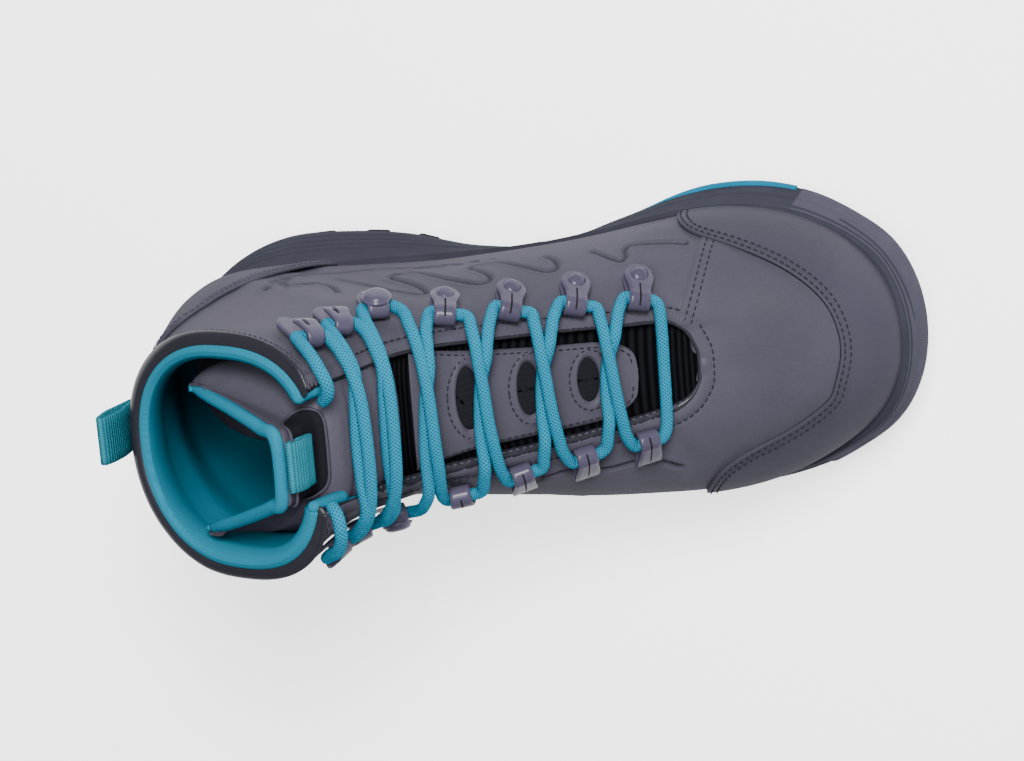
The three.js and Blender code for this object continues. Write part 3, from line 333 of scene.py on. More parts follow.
class Parts:
    # points and faces of several shapes for one piece
    def __init__(self):
        self.points, self.faces, self.uv, self.count = [], [], [], 0

    def add(self, points, faces, uv=None):
        points = np.asarray(points, float).reshape(-1, 3)
        self.points.append(points)
        self.uv.append(np.zeros((len(points), 2)) if uv is None else np.asarray(uv, float).reshape(-1, 2))
        self.faces += [[int(i) + self.count for i in face] for face in faces]
        self.count += len(points)

    def piece(self, name, finish, outwards=True, joined=True):
        made = new_piece(name, np.concatenate(self.points), self.faces, finish, uv=np.concatenate(self.uv))
        if joined:
            weld(made, outwards)
        return made


def directions_along(line):
    # the way of a line and two directions square to it that turn as little as possible
    way = unit(np.gradient(line, axis=0))
    side = np.empty_like(line)
    side[0] = unit(np.cross(way[0], [0.31, 0.17, 0.94]))
    for k in range(1, len(line)):
        side[k] = unit(side[k - 1] - way[k] * np.dot(side[k - 1], way[k]))
    return way, side, np.cross(way, side)


def tube(parts, line, radius, sides):
    line = np.asarray(line, float)
    radius = np.broadcast_to(np.asarray(radius, float), (len(line),))
    way, side, other = directions_along(line)
    # rounded ends
    ends = np.radians([78, 55, 28])
    before = [line[0] - way[0] * radius[0] * math.sin(e) for e in ends]
    after = [line[-1] + way[-1] * radius[-1] * math.sin(e) for e in ends[::-1]]
    middle = np.array(before + list(line) + after)
    size = np.concatenate([radius[0] * np.cos(ends), radius, radius[-1] * np.cos(ends[::-1])])
    pick = [0] * 3 + list(range(len(line))) + [len(line) - 1] * 3
    turn = np.linspace(0, 2 * math.pi, sides + 1)[None, :, None]
    ring = middle[:, None] + size[:, None, None] * (
        np.cos(turn) * side[pick][:, None] + np.sin(turn) * other[pick][:, None])
    turns = np.linspace(0, 1, sides + 1)[None, :]
    uv = np.stack(np.broadcast_arrays(turns, run_along(middle)[:, None]), axis=-1)
    faces = grid_faces(len(middle), sides + 1).tolist()
    last = (len(middle) - 1) * (sides + 1)
    faces += [list(range(sides))[::-1], [last + k for k in range(sides)]]
    parts.add(ring, faces, uv)


def stitch_row(parts, line, normals, length=STITCH_LENGTH):
    run = run_along(line)[-1]
    count = int(run // (length + STITCH_SPACE))
    if count < 1:
        return
    share = np.linspace(0, 1, 5)
    places = np.arange(count)[:, None] * (run / count) + share * length
    middle = along_line(line, line, places)
    out = unit(along_line(line, normals, places))
    way = unit(along_line(line, np.gradient(line, axis=0), places))
    side = np.cross(way, out)
    lift = STITCH_RADIUS * (1.2 * np.sin(math.pi * share) - 0.1)
    size = STITCH_RADIUS * np.array([0.5, 0.95, 1, 0.95, 0.5])
    turn = np.arange(6) * math.pi / 3
    ring = (middle + out * lift[:, None])[:, :, None] + size[:, None, None] * (
        np.cos(turn)[:, None] * side[:, :, None] + np.sin(turn)[:, None] * out[:, :, None])
    one = closed_rings(5, 6)
    faces = [[i + 30 * k for i in face] for k in range(count) for face in one]
    parts.add(ring, faces)


STITCHES = {"grey": Parts(), "dark": Parts()}


def stitch_over(colour, rows, out, length=STITCH_LENGTH):
    line, normals = on_form(rows, out)
    stitch_row(STITCHES[colour], line, normals, length)


def ribbon(parts, line, across, width, thick, closed=False, groove=0.0):
    # a flat band along a line: across is its width's direction, width may change along it
    line = np.asarray(line, float)
    across = unit(np.broadcast_to(np.asarray(across, float), line.shape))
    if closed:
        way = unit(np.roll(line, -1, 0) - np.roll(line, 1, 0))
    else:
        way = unit(np.gradient(line, axis=0))
    out = unit(np.cross(across, way))
    half = np.broadcast_to(np.asarray(width, float), (len(line),)) / 2
    r = min(0.4 * thick, 0.45)
    shares = np.array([-1, -0.97, -0.62, -0.2, -0.07, 0, 0.07, 0.2, 0.62, 0.97, 1])
    top = np.array([0.5 * thick - r, 0.5 * thick] + [0.5 * thick] * 7 + [0.5 * thick, 0.5 * thick - r])
    dip = groove * np.array([0, 0, 0, -0.4, 0.2, 1, 0.2, -0.4, 0, 0, 0])
    z = np.concatenate([shares, shares[::-1]])
    y = np.concatenate([top - dip, -top[::-1]])
    ring = line[:, None] + across[:, None] * (half[:, None] * z)[..., None] + out[:, None] * y[None, :, None]
    rows, columns = ring.shape[:2]
    uv = np.stack(np.broadcast_arrays((half[:, None] * z), run_along(line)[:, None]), axis=-1)
    if closed:
        ring = np.concatenate([ring, ring[:1]])
        uv = np.concatenate([uv, uv[-1:] + [0, np.linalg.norm(line[-1] - line[0])]])
        parts.add(ring, grid_faces(rows + 1, columns, around=True).tolist(), uv)
        return
    parts.add(ring, closed_rings(rows, columns), uv)


def on_boot(piece, slot, *nodes):
    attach(piece, "root")
    if nodes:
        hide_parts(*nodes)
    return piece


def sheet_piece(name, points, finish, slot, *nodes, thick=0.0, **facing):
    # a welded sheet over a grid of points, which may be given a thickness inwards
    piece = new_piece(name, points.reshape(-1, 3), grid_faces(*points.shape[:2], **facing), finish)
    weld(piece)
    if thick:
        thicken(piece, thick)
    return on_boot(piece, slot, *nodes)


def cord_piece(name, line, radius, sides, finish, slot, *nodes):
    parts = Parts()
    tube(parts, line, radius, sides)
    return on_boot(parts.piece(name, finish), slot, *nodes)


def facet(piece):
    piece.data.polygons.foreach_set("use_smooth", [False] * len(piece.data.polygons))


# Finishes.
class Socket:
    def __init__(self, finish, socket):
        self.finish = finish
        self.socket = socket

    def maths(self, operation, *values):
        return self.finish.maths(operation, *values)

    def __add__(self, other):
        return self.maths("ADD", self, other)

    def __sub__(self, other):
        return self.maths("SUBTRACT", self, other)

    def __rsub__(self, other):
        return self.maths("SUBTRACT", other, self)

    def __mul__(self, other):
        return self.maths("MULTIPLY", self, other)

    __radd__ = __add__
    __rmul__ = __mul__

    def step(self, low, high):
        return self.finish.node(
            "ShaderNodeMapRange", {"interpolation_type": "SMOOTHSTEP"}, {"Value": self, 1: low, 2: high})

    def wave(self, turns):
        return self.maths("SINE", self * (2 * math.pi * turns)) * 0.5 + 0.5


class Finish:
    def __init__(self, name, colour, roughness, **constants):
        self.material = bpy.data.materials.new(name)
        self.material.use_nodes = True
        self.tree = self.material.node_tree
        self.shader = self.tree.nodes["Principled BSDF"]
        self.set("Base Color", (*colour, 1.0))
        self.set("Roughness", roughness)
        for key, value in constants.items():
            self.set(key.replace("_", " ").title().replace("Ior", "IOR"), value)
        self.material.diffuse_color = (*colour, 1.0)

    def set(self, socket, value):
        target = self.shader.inputs[socket]
        if isinstance(value, Socket):
            self.tree.links.new(value.socket, target)
        else:
            target.default_value = value
        return self

    def node(self, kind, settings=None, values=None, output=0):
        made = self.tree.nodes.new(kind)
        for key, value in (settings or {}).items():
            setattr(made, key, value)
        for key, value in (values or {}).items():
            if isinstance(value, Socket):
                self.tree.links.new(value.socket, made.inputs[key])
            else:
                made.inputs[key].default_value = value
        return Socket(self, made.outputs[output])

    def maths(self, operation, *values):
        return self.node("ShaderNodeMath", {"operation": operation}, dict(enumerate(values)))

    def spot(self):
        return self.node("ShaderNodeTexCoord", output="Object")

    def uv(self, axis):
        both = self.node("ShaderNodeUVMap", {"uv_map": "UVMap"})
        return self.node("ShaderNodeSeparateXYZ", values={0: both}, output=axis)

    def noise(self, scale, detail):
        return self.node("ShaderNodeTexNoise", values={
            "Vector": self.spot(), "Scale": scale, "Detail": detail, "Roughness": 0.55})

    def cells(self, scale):
        return self.node("ShaderNodeTexVoronoi", {"feature": "F1"}, {"Vector": self.spot(), "Scale": scale})

    def attribute(self, name):
        return self.node("ShaderNodeAttribute", {"attribute_name": name}, output="Fac")

    def mix(self, share, low, high):
        colours = [(*v, 1.0) if isinstance(v, tuple) and len(v) == 3 else v for v in (low, high)]
        return self.node("ShaderNodeMix", {"data_type": "RGBA"}, {
            "Factor": share, 6: colours[0], 7: colours[1]}, output=2)

    def bump(self, height, distance, strength):
        made = self.node("ShaderNodeBump", values={
            "Height": height, "Distance": distance / 1000, "Strength": strength})
        return self.set("Normal", made)


def linear(red, green, blue):
    # a screen colour from 0 to 255 as the light it stands for
    shares = [v / 255 for v in (red, green, blue)]
    return tuple(v / 12.92 if v <= 0.04 else ((v + 0.055) / 1.055) ** 2.4 for v in shares)


def shade(colour, share):
    return tuple(v * share for v in colour)


def coated_leather(name, colour, roughness, grain=0.2, shine=0.07):
    finish = Finish(name, colour, roughness, specular_ior_level=0.0, coat_weight=shine,
                    coat_roughness=roughness - 0.1)
    cloud = finish.noise(14, 4).step(0.3, 0.7) * 0.23 + finish.noise(700, 3) * 0.14 + 0.78
    # painted shade: the colour darkens by up to 60% along the pressed lines, standing for the shadow in them
    groove_shade = 1 - finish.attribute("groove_shade") * 0.6
    finish.set("Base Color", finish.mix(cloud * groove_shade, (0.0, 0.0, 0.0), colour))
    finish.set("Roughness", finish.noise(14, 4) * 0.16 + (roughness - 0.08))
    fine = finish.cells(1150) * 0.6 + finish.noise(2200, 2) * 0.4
    finish.bump(fine, grain, 0.6)
    return finish.material


def rubber(name, colour, roughness, grain=0.1):
    finish = Finish(name, colour, roughness, specular_ior_level=0.0, coat_weight=0.04,
                    coat_roughness=roughness - 0.1)
    dust = finish.noise(60, 4)
    finish.set("Base Color", finish.mix(dust.step(0.45, 0.8), colour, shade(colour, 1.25)))
    finish.bump(finish.noise(1500, 3), grain, 0.5)
    return finish.material


def cloth(name, colour, pitch=1.3):
    finish = Finish(name, colour, 0.9, specular_ior_level=0.0)
    spot = finish.spot()
    x, y, z = (finish.node("ShaderNodeSeparateXYZ", values={0: spot}, output=k) for k in range(3))
    drift = finish.noise(45, 2) * 0.004
    weave = (x * 0.7 + y * 0.5 + z + drift).wave(1000 / pitch) * 0.5 + finish.noise(1500, 2) * 0.5
    finish.set("Base Color", finish.mix(weave, shade(colour, 0.86), shade(colour, 1.1)))
    finish.bump(weave, 0.12, 0.6)
    return finish.material


def band(name, colour):
    # woven band with ribs across its width
    finish = Finish(name, colour, 0.85, specular_ior_level=0.0)
    across, along = finish.uv(0), finish.uv(1)
    weave = along.wave(0.72) * 0.6 + (across + along * 0.5).wave(1.1) * 0.4
    finish.set("Base Color", finish.mix(weave, shade(colour, 0.5), shade(colour, 1.15)))
    finish.bump(weave, 0.4, 0.9)
    return finish.material


def braid(name, colour):
    # fine strands that cross on the slant
    finish = Finish(name, colour, 0.75, specular_ior_level=0.0)
    around, along = finish.uv(0), finish.uv(1)
    left = (around * 8 + along * 0.8).wave(1)
    right = (around * 8 - along * 0.8).wave(1)
    weave = finish.maths("MAXIMUM", left, right)
    finish.set("Base Color", finish.mix(weave.step(0.35, 0.95), shade(colour, 0.55), shade(colour, 1.12)))
    finish.bump(weave, 0.3, 0.9)
    return finish.material


def ribs(name, colour):
    finish = Finish(name, colour, 0.7, specular_ior_level=0.0)
    wave = finish.uv(1).wave(0.75)
    finish.set("Base Color", finish.mix(wave, shade(colour, 0.4), shade(colour, 1.5)))
    finish.bump(wave + finish.noise(900, 2) * 0.2, 0.4, 0.9)
    return finish.material


GREY = linear(62, 60, 70)
upper_skin = coated_leather("upper_skin", GREY, 0.46)
collar_skin = coated_leather("collar_skin", linear(34, 34, 40), 0.36, shine=0.3)
cap_skin = coated_leather("cap_skin", linear(56, 54, 64), 0.44)
lining_cloth = cloth("teal_lining", linear(24, 98, 119))
edge_cloth = cloth("edge_cloth", linear(24, 97, 118), 1.1)
dark_cloth = cloth("dark_cloth", linear(24, 24, 28), 1.0)
ribbed_cloth = ribs("ribbed_cloth", linear(13, 13, 16))
lace_cord = braid("lace_cord", linear(28, 108, 134))
webbing = band("webbing", linear(36, 104, 119))
midsole_rubber = rubber("midsole_rubber", linear(42, 43, 51), 0.55)
bumper_rubber = rubber("bumper_rubber", linear(57, 56, 67), 0.5)
outsole_rubber = rubber("outsole_rubber", linear(26, 24, 24), 0.65)
teal_rubber = rubber("teal_rubber", linear(12, 92, 120), 0.5)
painted_metal = coated_leather("painted_metal", linear(60, 57, 73), 0.32, 0.02, 0.28)
thread_grey = rubber("thread_grey", linear(66, 64, 76), 0.6, 0.05)
thread_dark = rubber("thread_dark", linear(36, 35, 42), 0.6, 0.05)


# Ways over the upper, as rows of [station, angle].
def surface_line(rows, step=1.0):
    # the smooth line through the rows, with points of an even step in millimetres
    rows = np.asarray(rows, float)
    fine = spline(rows, np.linspace(0, len(rows) - 1, 30 * len(rows)))
    at = form(fine[:, 0], fine[:, 1])
    run = run_along(at)[-1]
    return along_line(at, fine, np.linspace(0, run, max(3, int(round(run / step)) + 1)))


def beside(line, distance):
    # the line moved sideways over the upper, to the left of its way as seen from outside
    s, a = line[:, 0], line[:, 1]
    along = (form(s + 0.02, a) - form(s - 0.02, a)) / 0.04
    around = form(s, a + 0.5) - form(s, a - 0.5)
    way = unit(np.gradient(form(s, a), axis=0))
    move = np.cross(form_normal(s, a), way) * distance
    aa, bb, ab = (along * along).sum(1), (around * around).sum(1), (along * around).sum(1)
    am, bm = (along * move).sum(1), (around * move).sum(1)
    whole = aa * bb - ab * ab
    return np.stack([s + (am * bb - bm * ab) / whole, a + (bm * aa - am * ab) / whole], axis=1)


def on_form(line, out):
    return form_at(line[:, 0], line[:, 1], out + 0 * line[:, 0]), form_normal(line[:, 0], line[:, 1])


def distance_to(points, line, reach):
    # distance of each point to a line, where it is within reach
    flat = points.reshape(-1, 3)
    far = np.full(len(flat), 99.0)
    near = np.nonzero(np.all((flat > line.min(0) - reach) & (flat < line.max(0) + reach), axis=1))[0]
    for part in np.array_split(near, max(1, len(near) // 4000)):
        gap = flat[part][:, None, :] - line[None, :, :]
        far[part] = np.sqrt((gap ** 2).sum(2).min(1))
    return far.reshape(points.shape[:-1])


# Upper: quarters and vamp as one skin with a turned-in edge.
VAMP_SEAM = [[6.12, 15.5], [5.96, 29], [5.83, 44], [5.74, 59], [5.68, 68]]
MOULDED = [  # lines pressed into the quarters
    [[12.65, 88.8], [12.26, 84], [11.8, 74.8], [11.3, 67.6], [11.07, 68.5], [11.22, 75.3], [11.48, 81.5],
     [11.72, 86.9], [11.51, 88.4], [11.2, 87.3], [10.57, 75.2], [9.94, 64.6], [9.69, 63.8], [9.69, 68.8],
     [9.96, 76.8], [10.25, 84.8], [9.7, 83.7], [9.01, 70], [8.58, 61.8], [8.37, 62.2], [8.47, 70.4],
     [8.7, 77]],
    [[7.82, 71], [7.49, 62], [7.23, 56.2], [7.13, 58.1], [7.18, 64], [7.08, 66.6], [6.62, 63.4],
     [6.03, 58.3]],
    [[13.76, 87.3], [13.51, 86.3], [13.19, 85.6], [12.97, 82.3], [12.96, 76.1]],
    [[14.65, 63.1], [14.21, 60.6], [13.86, 57.6], [13.6, 53]],
    [[14.35, 87.7], [13.55, 90.2], [12.8, 94.2], [12.1, 94.1], [11.35, 91.6], [10.61, 90.6], [9.9, 90]],
    [[8.74, -40.2], [8.5, -38.2], [8.23, -36], [7.9, -36.8], [7.5, -37], [7.2, -35.6], [6.95, -34.5],
     [6.6, -37], [6.3, -42]],
    [[13.9, -86], [13.2, -84], [12.4, -86], [11.4, -88], [10.4, -84], [9.3, -78], [8.4, -76]]]
CREASES = [  # soft folds: line, depth, half width
    ([[6.4, -24], [6.15, -32], [6.05, -42], [6.1, -52]], -0.9, 4.5),
    ([[6.75, 22], [6.85, 32], [6.8, 44]], -0.5, 4.0),
    ([[10.4, 60], [11.2, 72], [12.2, 84], [12.9, 100]], -1.3, 9.0),
    ([[11.4, -52], [11.9, -66], [12.6, -82], [13.2, -98]], -1.3, 9.0),
    ([[12.9, 62], [13.6, 74], [14.2, 92]], 0.9, 7.0),
    ([[13.2, -66], [13.9, -78], [14.4, -96]], 0.8, 7.0)]


def relief(points, s, a):
    # height over the form, and how deep each place lies in a pressed line, where painted shade darkens the
    # leather's colour
    seam = np.interp(a, [row[1] for row in VAMP_SEAM], [row[0] for row in VAMP_SEAM])
    size = np.linalg.norm(form(s + 0.05, a) - form(s - 0.05, a), axis=-1) / 0.1
    past = (seam - s) * size
    height = 0.8 * smooth((past + 0.5) / 0.7) * (1 - smooth((past - 6) / 16)) * smooth((a - 13) / 4)
    groove_shade = 0 * height
    for rows in MOULDED:
        far = distance_to(points, form(*surface_line(rows, 0.6).T), 4.0)
        height = height - 1.2 * ridge(far, 0.85) + 0.4 * ridge(far - 2.2, 0.9)
        # painted shade mask: 1 in the middle of each pressed line
        groove_shade = np.maximum(groove_shade, ridge(far, 0.75))
    for rows, depth, wide in CREASES:
        far = distance_to(points, form(*surface_line(rows, 1.5).T), 2.5 * wide)
        height = height + depth * ridge(far, wide)
    for side in (1, -1):
        edge = THROAT_EDGES[side]
        far = distance_to(points, form(edge[:, 0], edge[:, 1]), 8.0)
        height = height + 0.35 * ridge(far - 2.6, 1.5) - 0.35 * ridge(far, 0.9)
        height = height - 0.35 * ridge(far - 5.4, 0.6)
    return height, groove_shade


def throat_edge(side):
    s = np.concatenate([np.linspace(5.72, 6.3, 24), np.linspace(6.35, SHAFT_TOP, 110)])
    return np.stack([s, [side * throat_angle(v, side) for v in s]], axis=1)


THROAT_EDGES = {1: throat_edge(1), -1: throat_edge(-1)}


def build_upper():
    stations = np.concatenate([
        np.linspace(0, 1, 14)[:-1], np.linspace(1, 5.5, 44)[:-1], np.linspace(5.5, 6.3, 32)[:-1],
        np.linspace(6.3, 10, 84)[:-1], np.linspace(10, 15, 124)[:-1], np.linspace(15, 16, 48)])
    real = upper_station(stations, 30.0)
    inner, outer = 160, 100
    share_in = np.linspace(0, 1, inner)
    share_out = np.linspace(0, 1, outer)
    throat_in, throat_out, end_in, end_out = (
        np.array([find(v, side) for v in real])
        for find, side in ((throat_angle, 1), (throat_angle, -1), (feather_angle, 1), (feather_angle, -1)))
    a_out = -(throat_out[:, None] + (end_out - throat_out)[:, None] * share_out[::-1])
    a_in = throat_in[:, None] + (end_in - throat_in)[:, None] * share_in
    a = np.concatenate([a_out, a_in], axis=1)
    s = upper_station(stations[:, None] + 0 * a, a)
    points = form_at(s, a, 0.0 * a)
    height, groove_shade = relief(points, s, a)
    points = points + form_normal(s, a) * height[..., None]
    columns = inner + outer
    faces = grid_faces(len(stations), columns)
    open_rows = throat_in[:-1] + throat_out[:-1] > 0.2
    gap = (faces[:, 0] % columns == outer - 1) & open_rows[faces[:, 0] // columns]
    piece = new_piece("upper_shell", points.reshape(-1, 3), faces[~gap], upper_skin)
    # painted shade: the pressed lines' mask is kept on the shell so that its finish darkens there
    depth = piece.data.attributes.new("groove_shade", "FLOAT", "POINT")
    depth.data.foreach_set("value", groove_shade.ravel().astype(np.float32))
    weld(piece)
    thicken(piece, WALL, use_rim_only=True)
    return on_boot(piece, "upper_synthetic", "upper")


build_upper()

# Collar: padding over the rim and a teal band inside it.
COLLAR_LINE = [  # share from the quarter's edge to the rim, out from the form
    (-0.02, -1.3), (0.06, -0.3), (0.2, 0.8), (0.45, 1.9), (0.7, 2.1), (0.88, 1.2), (0.98, -0.6), (1.0, -2.2),
    (0.99, -3.2)]
BAND_LINE = [  # drop below the rim, out from the form
    (0.02, -2.4), (-0.03, -3.4), (-0.04, -4.8), (0.02, -6.4), (0.16, -7.8), (0.4, -8.5), (0.8, -7.9),
    (1.1, -6.8)]


def collar_angles(count):
    first, last = throat_angle(SHAFT_TOP, 1), throat_angle(SHAFT_TOP, -1)
    return np.linspace(first, 360 - last, count)


def band_grid(rows, station_of):
    a = collar_angles(180)
    fade = 0.4 + 0.6 * smooth((a - a[0]) / 14) * smooth((a[-1] - a) / 14)
    fine = spline(np.array(rows), np.linspace(0, len(rows) - 1, 6 * len(rows)))
    return np.stack([
        form_at(np.clip(station_of(share, a), 0, COLLAR), a, out * (fade if out > 0 else 1) + 0 * a)
        for share, out in fine])


def build_collar():
    pad = band_grid(COLLAR_LINE, lambda share, a: quarter_top(a) + (COLLAR - quarter_top(a)) * share)
    sheet_piece("collar_padding", pad, collar_skin, "dark_textile", thick=1.5)
    band = band_grid(BAND_LINE, lambda share, a: COLLAR - share + 0 * a)
    lift = np.interp(np.linspace(0, 1, band.shape[0]), [0, 0.25, 0.6, 1], [0.2, 1.2, 0.0, 0.0])
    band = band + COLLAR_UP * lift[:, None, None]
    sheet_piece("collar_band", band, lining_cloth, "dark_textile", thick=0.8)


build_collar()


def build_lining():
    # cloth inside the upper, clear of the throat's edge
    stations = np.concatenate([np.linspace(2.0, PAD_START, 60), np.linspace(PAD_START, SHAFT_TOP, 24)[1:]])
    depth = 2.6 + (PAD - 2.4) * smooth((stations - PAD_START) / 1.6)
    rows = []
    for s, d in zip(stations, depth):
        t_in, t_out = (throat_angle(s, side) + 1.6 * (5.2 < s < 14.5) for side in (1, -1))
        e_in, e_out = feather_angle(s, 1, 0.5) + 1.0, feather_angle(s, -1, 0.5) + 1.0
        a = np.concatenate([-np.linspace(e_out, t_out, 50), np.linspace(t_in, e_in, 50)])
        rows.append(form_at(s + 0 * a, a, -d + 0 * a))
    points = np.stack(rows)
    faces = grid_faces(len(stations), 100, flip=True)
    t = np.array([throat_angle(s, 1) + throat_angle(s, -1) for s in stations])[:-1] > 0.2
    t = t | (stations[:-1] > 5.3)
    gap = (np.min(faces % 100, axis=1) == 49) & t[np.min(faces, axis=1) // 100]
    piece = new_piece("lining", points.reshape(-1, 3), faces[~gap], lining_cloth)
    weld(piece)
    on_boot(piece, "dark_textile")


build_lining()

# Toe cap: angle round the upper, station of its back edge.
CAP_EDGE = np.array([
    [-150, 6.25], [-110, 6.2], [-69, 6.01], [-45, 5.51], [-36, 4.8], [-30.5, 4.1], [-28, 3.6], [-25, 3.25],
    [-18, 3.08], [-9.5, 2.98], [-1, 2.81], [10, 2.91], [18.5, 3.04], [27, 3.32], [34, 3.67], [44.5, 4.43],
    [61, 5.82], [74, 6.2], [86, 6.36], [120, 6.5], [150, 6.6]])
CAP_CURVE = spline(CAP_EDGE, np.linspace(0, len(CAP_EDGE) - 1, 300))


def cap_station(a):
    near = np.interp(a, CAP_CURVE[:, 0], CAP_CURVE[:, 1])
    wide = [np.interp(a + k, CAP_CURVE[:, 0], CAP_CURVE[:, 1]) for k in (-6, -3, 3, 6)]
    return (near + sum(wide)) / 5


def build_cap():
    # rows from the toe back to the cap's edge, which is turned down
    share = np.concatenate([np.linspace(0, 1, 90), [1.0, 1.0, 1.0]])
    out = np.concatenate([np.full(89, OVERLAY), [0.92 * OVERLAY, 0.7 * OVERLAY, 0.35 * OVERLAY, -0.2]])
    across = np.linspace(-1, 1, 170)
    rows = []
    for f, o in zip(share, out):
        a = 100 * across
        for _ in range(3):
            s = f * cap_station(a)
            limit = np.array([feather_angle(v, 1 if k > 0 else -1) for v, k in zip(s[[0, -1]], (-1, 1))])
            a = np.where(across < 0, across * limit[0], across * limit[1])
        s = f * cap_station(a)
        rows.append(form_at(s, a, o + 0 * a))
    sheet_piece("toe_cap_skin", np.stack(rows), cap_skin, "upper_synthetic", "toe_cap", thick=1.2)


build_cap()


# Heights round the heel: the slice of the upper at one height, from the back forwards on one side.
def heel_slice(z, side, x_front, count, out):
    stations = np.linspace(10.5, 17.95, 150)
    a = np.linspace(60, 180, 481)
    line = []
    for s in stations:
        p = form(s, side * a)
        if p[:, 2].min() > z or p[:, 2].max() < z:
            continue
        angle = np.interp(-z, -p[:, 2], a)
        line.append(form_at(s, side * angle, out))
    line = np.array(line)
    spine = np.linspace(13, 18, 200)
    back = form_at(np.interp(z, form(spine, 180.0)[:, 2], spine), 180.0, out)
    line = line[line[:, 0] > back[0] + 0.3]
    line = line[np.argsort(line[:, 0])]
    line = np.vstack([back, line])[:, :2]
    end = np.interp(x_front, line[:, 0], run_along(line))
    line = along_line(line, line, np.linspace(0, end, count))
    return np.column_stack([line, np.full(count, float(z))])


# Heel counter: height, place of its front edge.
COUNTER_TOP = 123.2
COUNTER = np.array([[24, 66.5], [45, 64.8], [74, 54.7], [104, 43.2], [116, 38.0], [121, 33.5],
                    [COUNTER_TOP, 28.8]])


def build_counter():
    # rows round the heel at equal heights
    rows = []
    for z in np.linspace(27, COUNTER_TOP, 60):
        front = np.interp(z, COUNTER[:, 0], COUNTER[:, 1])
        inner = heel_slice(z, 1, front, 50, OVERLAY)
        outer = heel_slice(z, -1, front, 50, OVERLAY)
        rows.append(np.vstack([outer[::-1], inner[1:]]))
    sheet_piece("heel_counter_skin", np.stack(rows), cap_skin, "upper_synthetic", "heel_counter",
                thick=1.4, flip=True)


build_counter()

# Tongue: station, half angle, how far its sides lean inwards.
TONGUE = np.array([
    [5.5, 24, 0], [6.5, 30, 0], [8, 36, 0], [9.5, 42, 0], [11, 48, 0], [12.4, 52, 0], [13.8, 58, 0],
    [15.2, 66, 0.1], [16.4, 78, 0.3], [17.3, 90, 0.6], [18, 100, 0.9]])
# Share of its half width at which the tongue is folded.
FOLD = 0.1
# Thickness of its padding.
TONGUE_DEPTH = 4.2
# Row of the table at its upper end.
TONGUE_END = 11.0


def wall_at(s):
    # the upper's wall with its padding
    return WALL + (PAD - WALL) * smooth((s - PAD_START) / 1.6)


def tongue_top(s):
    # how far the tongue's outer face lies inside the form
    return -wall_at(s) - 0.4 - 2.2 * smooth((s - 5.6) / 1.2)


def tongue_sheet(v, share, depth):
    # v up to 10: rows of the table; from 10 to 11: the rise above the collar
    row = spline(TONGUE, np.minimum(v, 10))
    s, cover, wing = row[..., 0], row[..., 1], row[..., 2]
    cover = cover * (1 + np.where(share > 0, 0.25, 0.11) * smooth((v - 7) / 3))
    lean = wing / 0.9 * np.where(share > 0, 5.2, 1.0) * smooth((np.abs(share) - 0.35) / 0.65)
    edge = depth * (0.25 + 0.75 * np.cos(share * math.pi / 2.3))
    rise = np.maximum(v - 10, 0)
    forward = np.maximum(1 - (share / 0.4) ** 2, 0) * (smooth((v - 8) / 2) + 2.0 * rise ** 2)
    lift = 11.5 * rise * (1 - 1.2 * share ** 2)
    return form_at(s, cover * share, tongue_top(s) - lean - edge + forward) + COLLAR_UP * lift[..., None]


def tongue_points(v, share, depth):
    # towards its top the tongue is folded, with a straight wing on each side
    v, share = np.broadcast_arrays(np.asarray(v, float), np.asarray(share, float))
    side = np.where(share >= 0, 1.0, -1.0)
    bent = tongue_sheet(v, share, depth)
    fold, tip = tongue_sheet(v, FOLD * side, depth), tongue_sheet(v, side, depth)
    along = np.clip((np.abs(share) - FOLD) / (1 - FOLD), 0, 1)
    straight = fold + (tip - fold) * along[..., None]
    share = 0.93 * smooth((v - 7) / 3) * smooth((np.abs(share) - 0.02) / 0.2)
    return bent + (straight - bent) * share[..., None]


def tongue_middle(v, share):
    return (tongue_points(v, share, 0.0) + tongue_points(v, share, TONGUE_DEPTH)) / 2


def tongue_row(station):
    return np.interp(station, TONGUE[:, 0], np.arange(len(TONGUE)))


def build_tongue():
    v = np.concatenate([np.linspace(0, 10, 110), np.linspace(10, 11, 10)[1:]])[:, None]
    share = np.linspace(-1, 1, 60)[None, :]
    front, back = tongue_points(v, share, 0.0), tongue_points(v, share, TONGUE_DEPTH)
    ring = np.concatenate([front, back[:, ::-1]], axis=1)
    rows, columns = ring.shape[:2]
    faces = grid_faces(rows, columns, around=True).tolist()
    half = columns // 2
    for base in (0, (rows - 1) * columns):
        for j in range(half - 1):
            faces.append([base + j, base + j + 1, base + columns - 2 - j, base + columns - 1 - j])
    along = np.broadcast_to(v * 12.0, (rows, columns))
    across = np.concatenate([share, share[:, ::-1]], axis=1) * 30.0 + 0 * v
    piece = new_piece("tongue_body", ring.reshape(-1, 3), faces, ribbed_cloth,
                      uv=np.stack([across, along], axis=-1).reshape(-1, 2))
    weld(piece, True)
    on_boot(piece, "dark_textile", "tongue")


def build_tongue_leather():
    low = tongue_row(12.0)
    share = np.linspace(-1, 1, 80)[None, :]
    start = low + 0.45 * np.abs(share) ** 1.5
    level = np.linspace(0, 1, 90)[:, None]
    v = start + (10.97 - start) * level
    inside = smooth((1 - np.abs(share)) / 0.1) * smooth((1.02 - level) / 0.08)
    puff = 0.5 + 1.5 * smooth(level / 0.12) * inside
    fold = -0.7 * ridge(v - tongue_row(14.4), 0.12)
    fold = fold - 0.5 * ridge(v - tongue_row(15.8), 0.1)
    points = tongue_points(v, share, 0.0)
    out = unit(points - tongue_points(v, share, 2.0))
    points = points + out * (puff + fold * smooth((0.9 - np.abs(share)) / 0.3))[..., None]
    sheet_piece("tongue_leather", points, upper_skin, "upper_synthetic", thick=0.9)
    cord_piece("tongue_leather_edge", points[0] + out[0] * 0.1, 0.55, 8, cap_skin, "upper_synthetic")
    seam = points[3] + out[3] * 0.15
    stitch_row(STITCHES["dark"], seam, out[3])


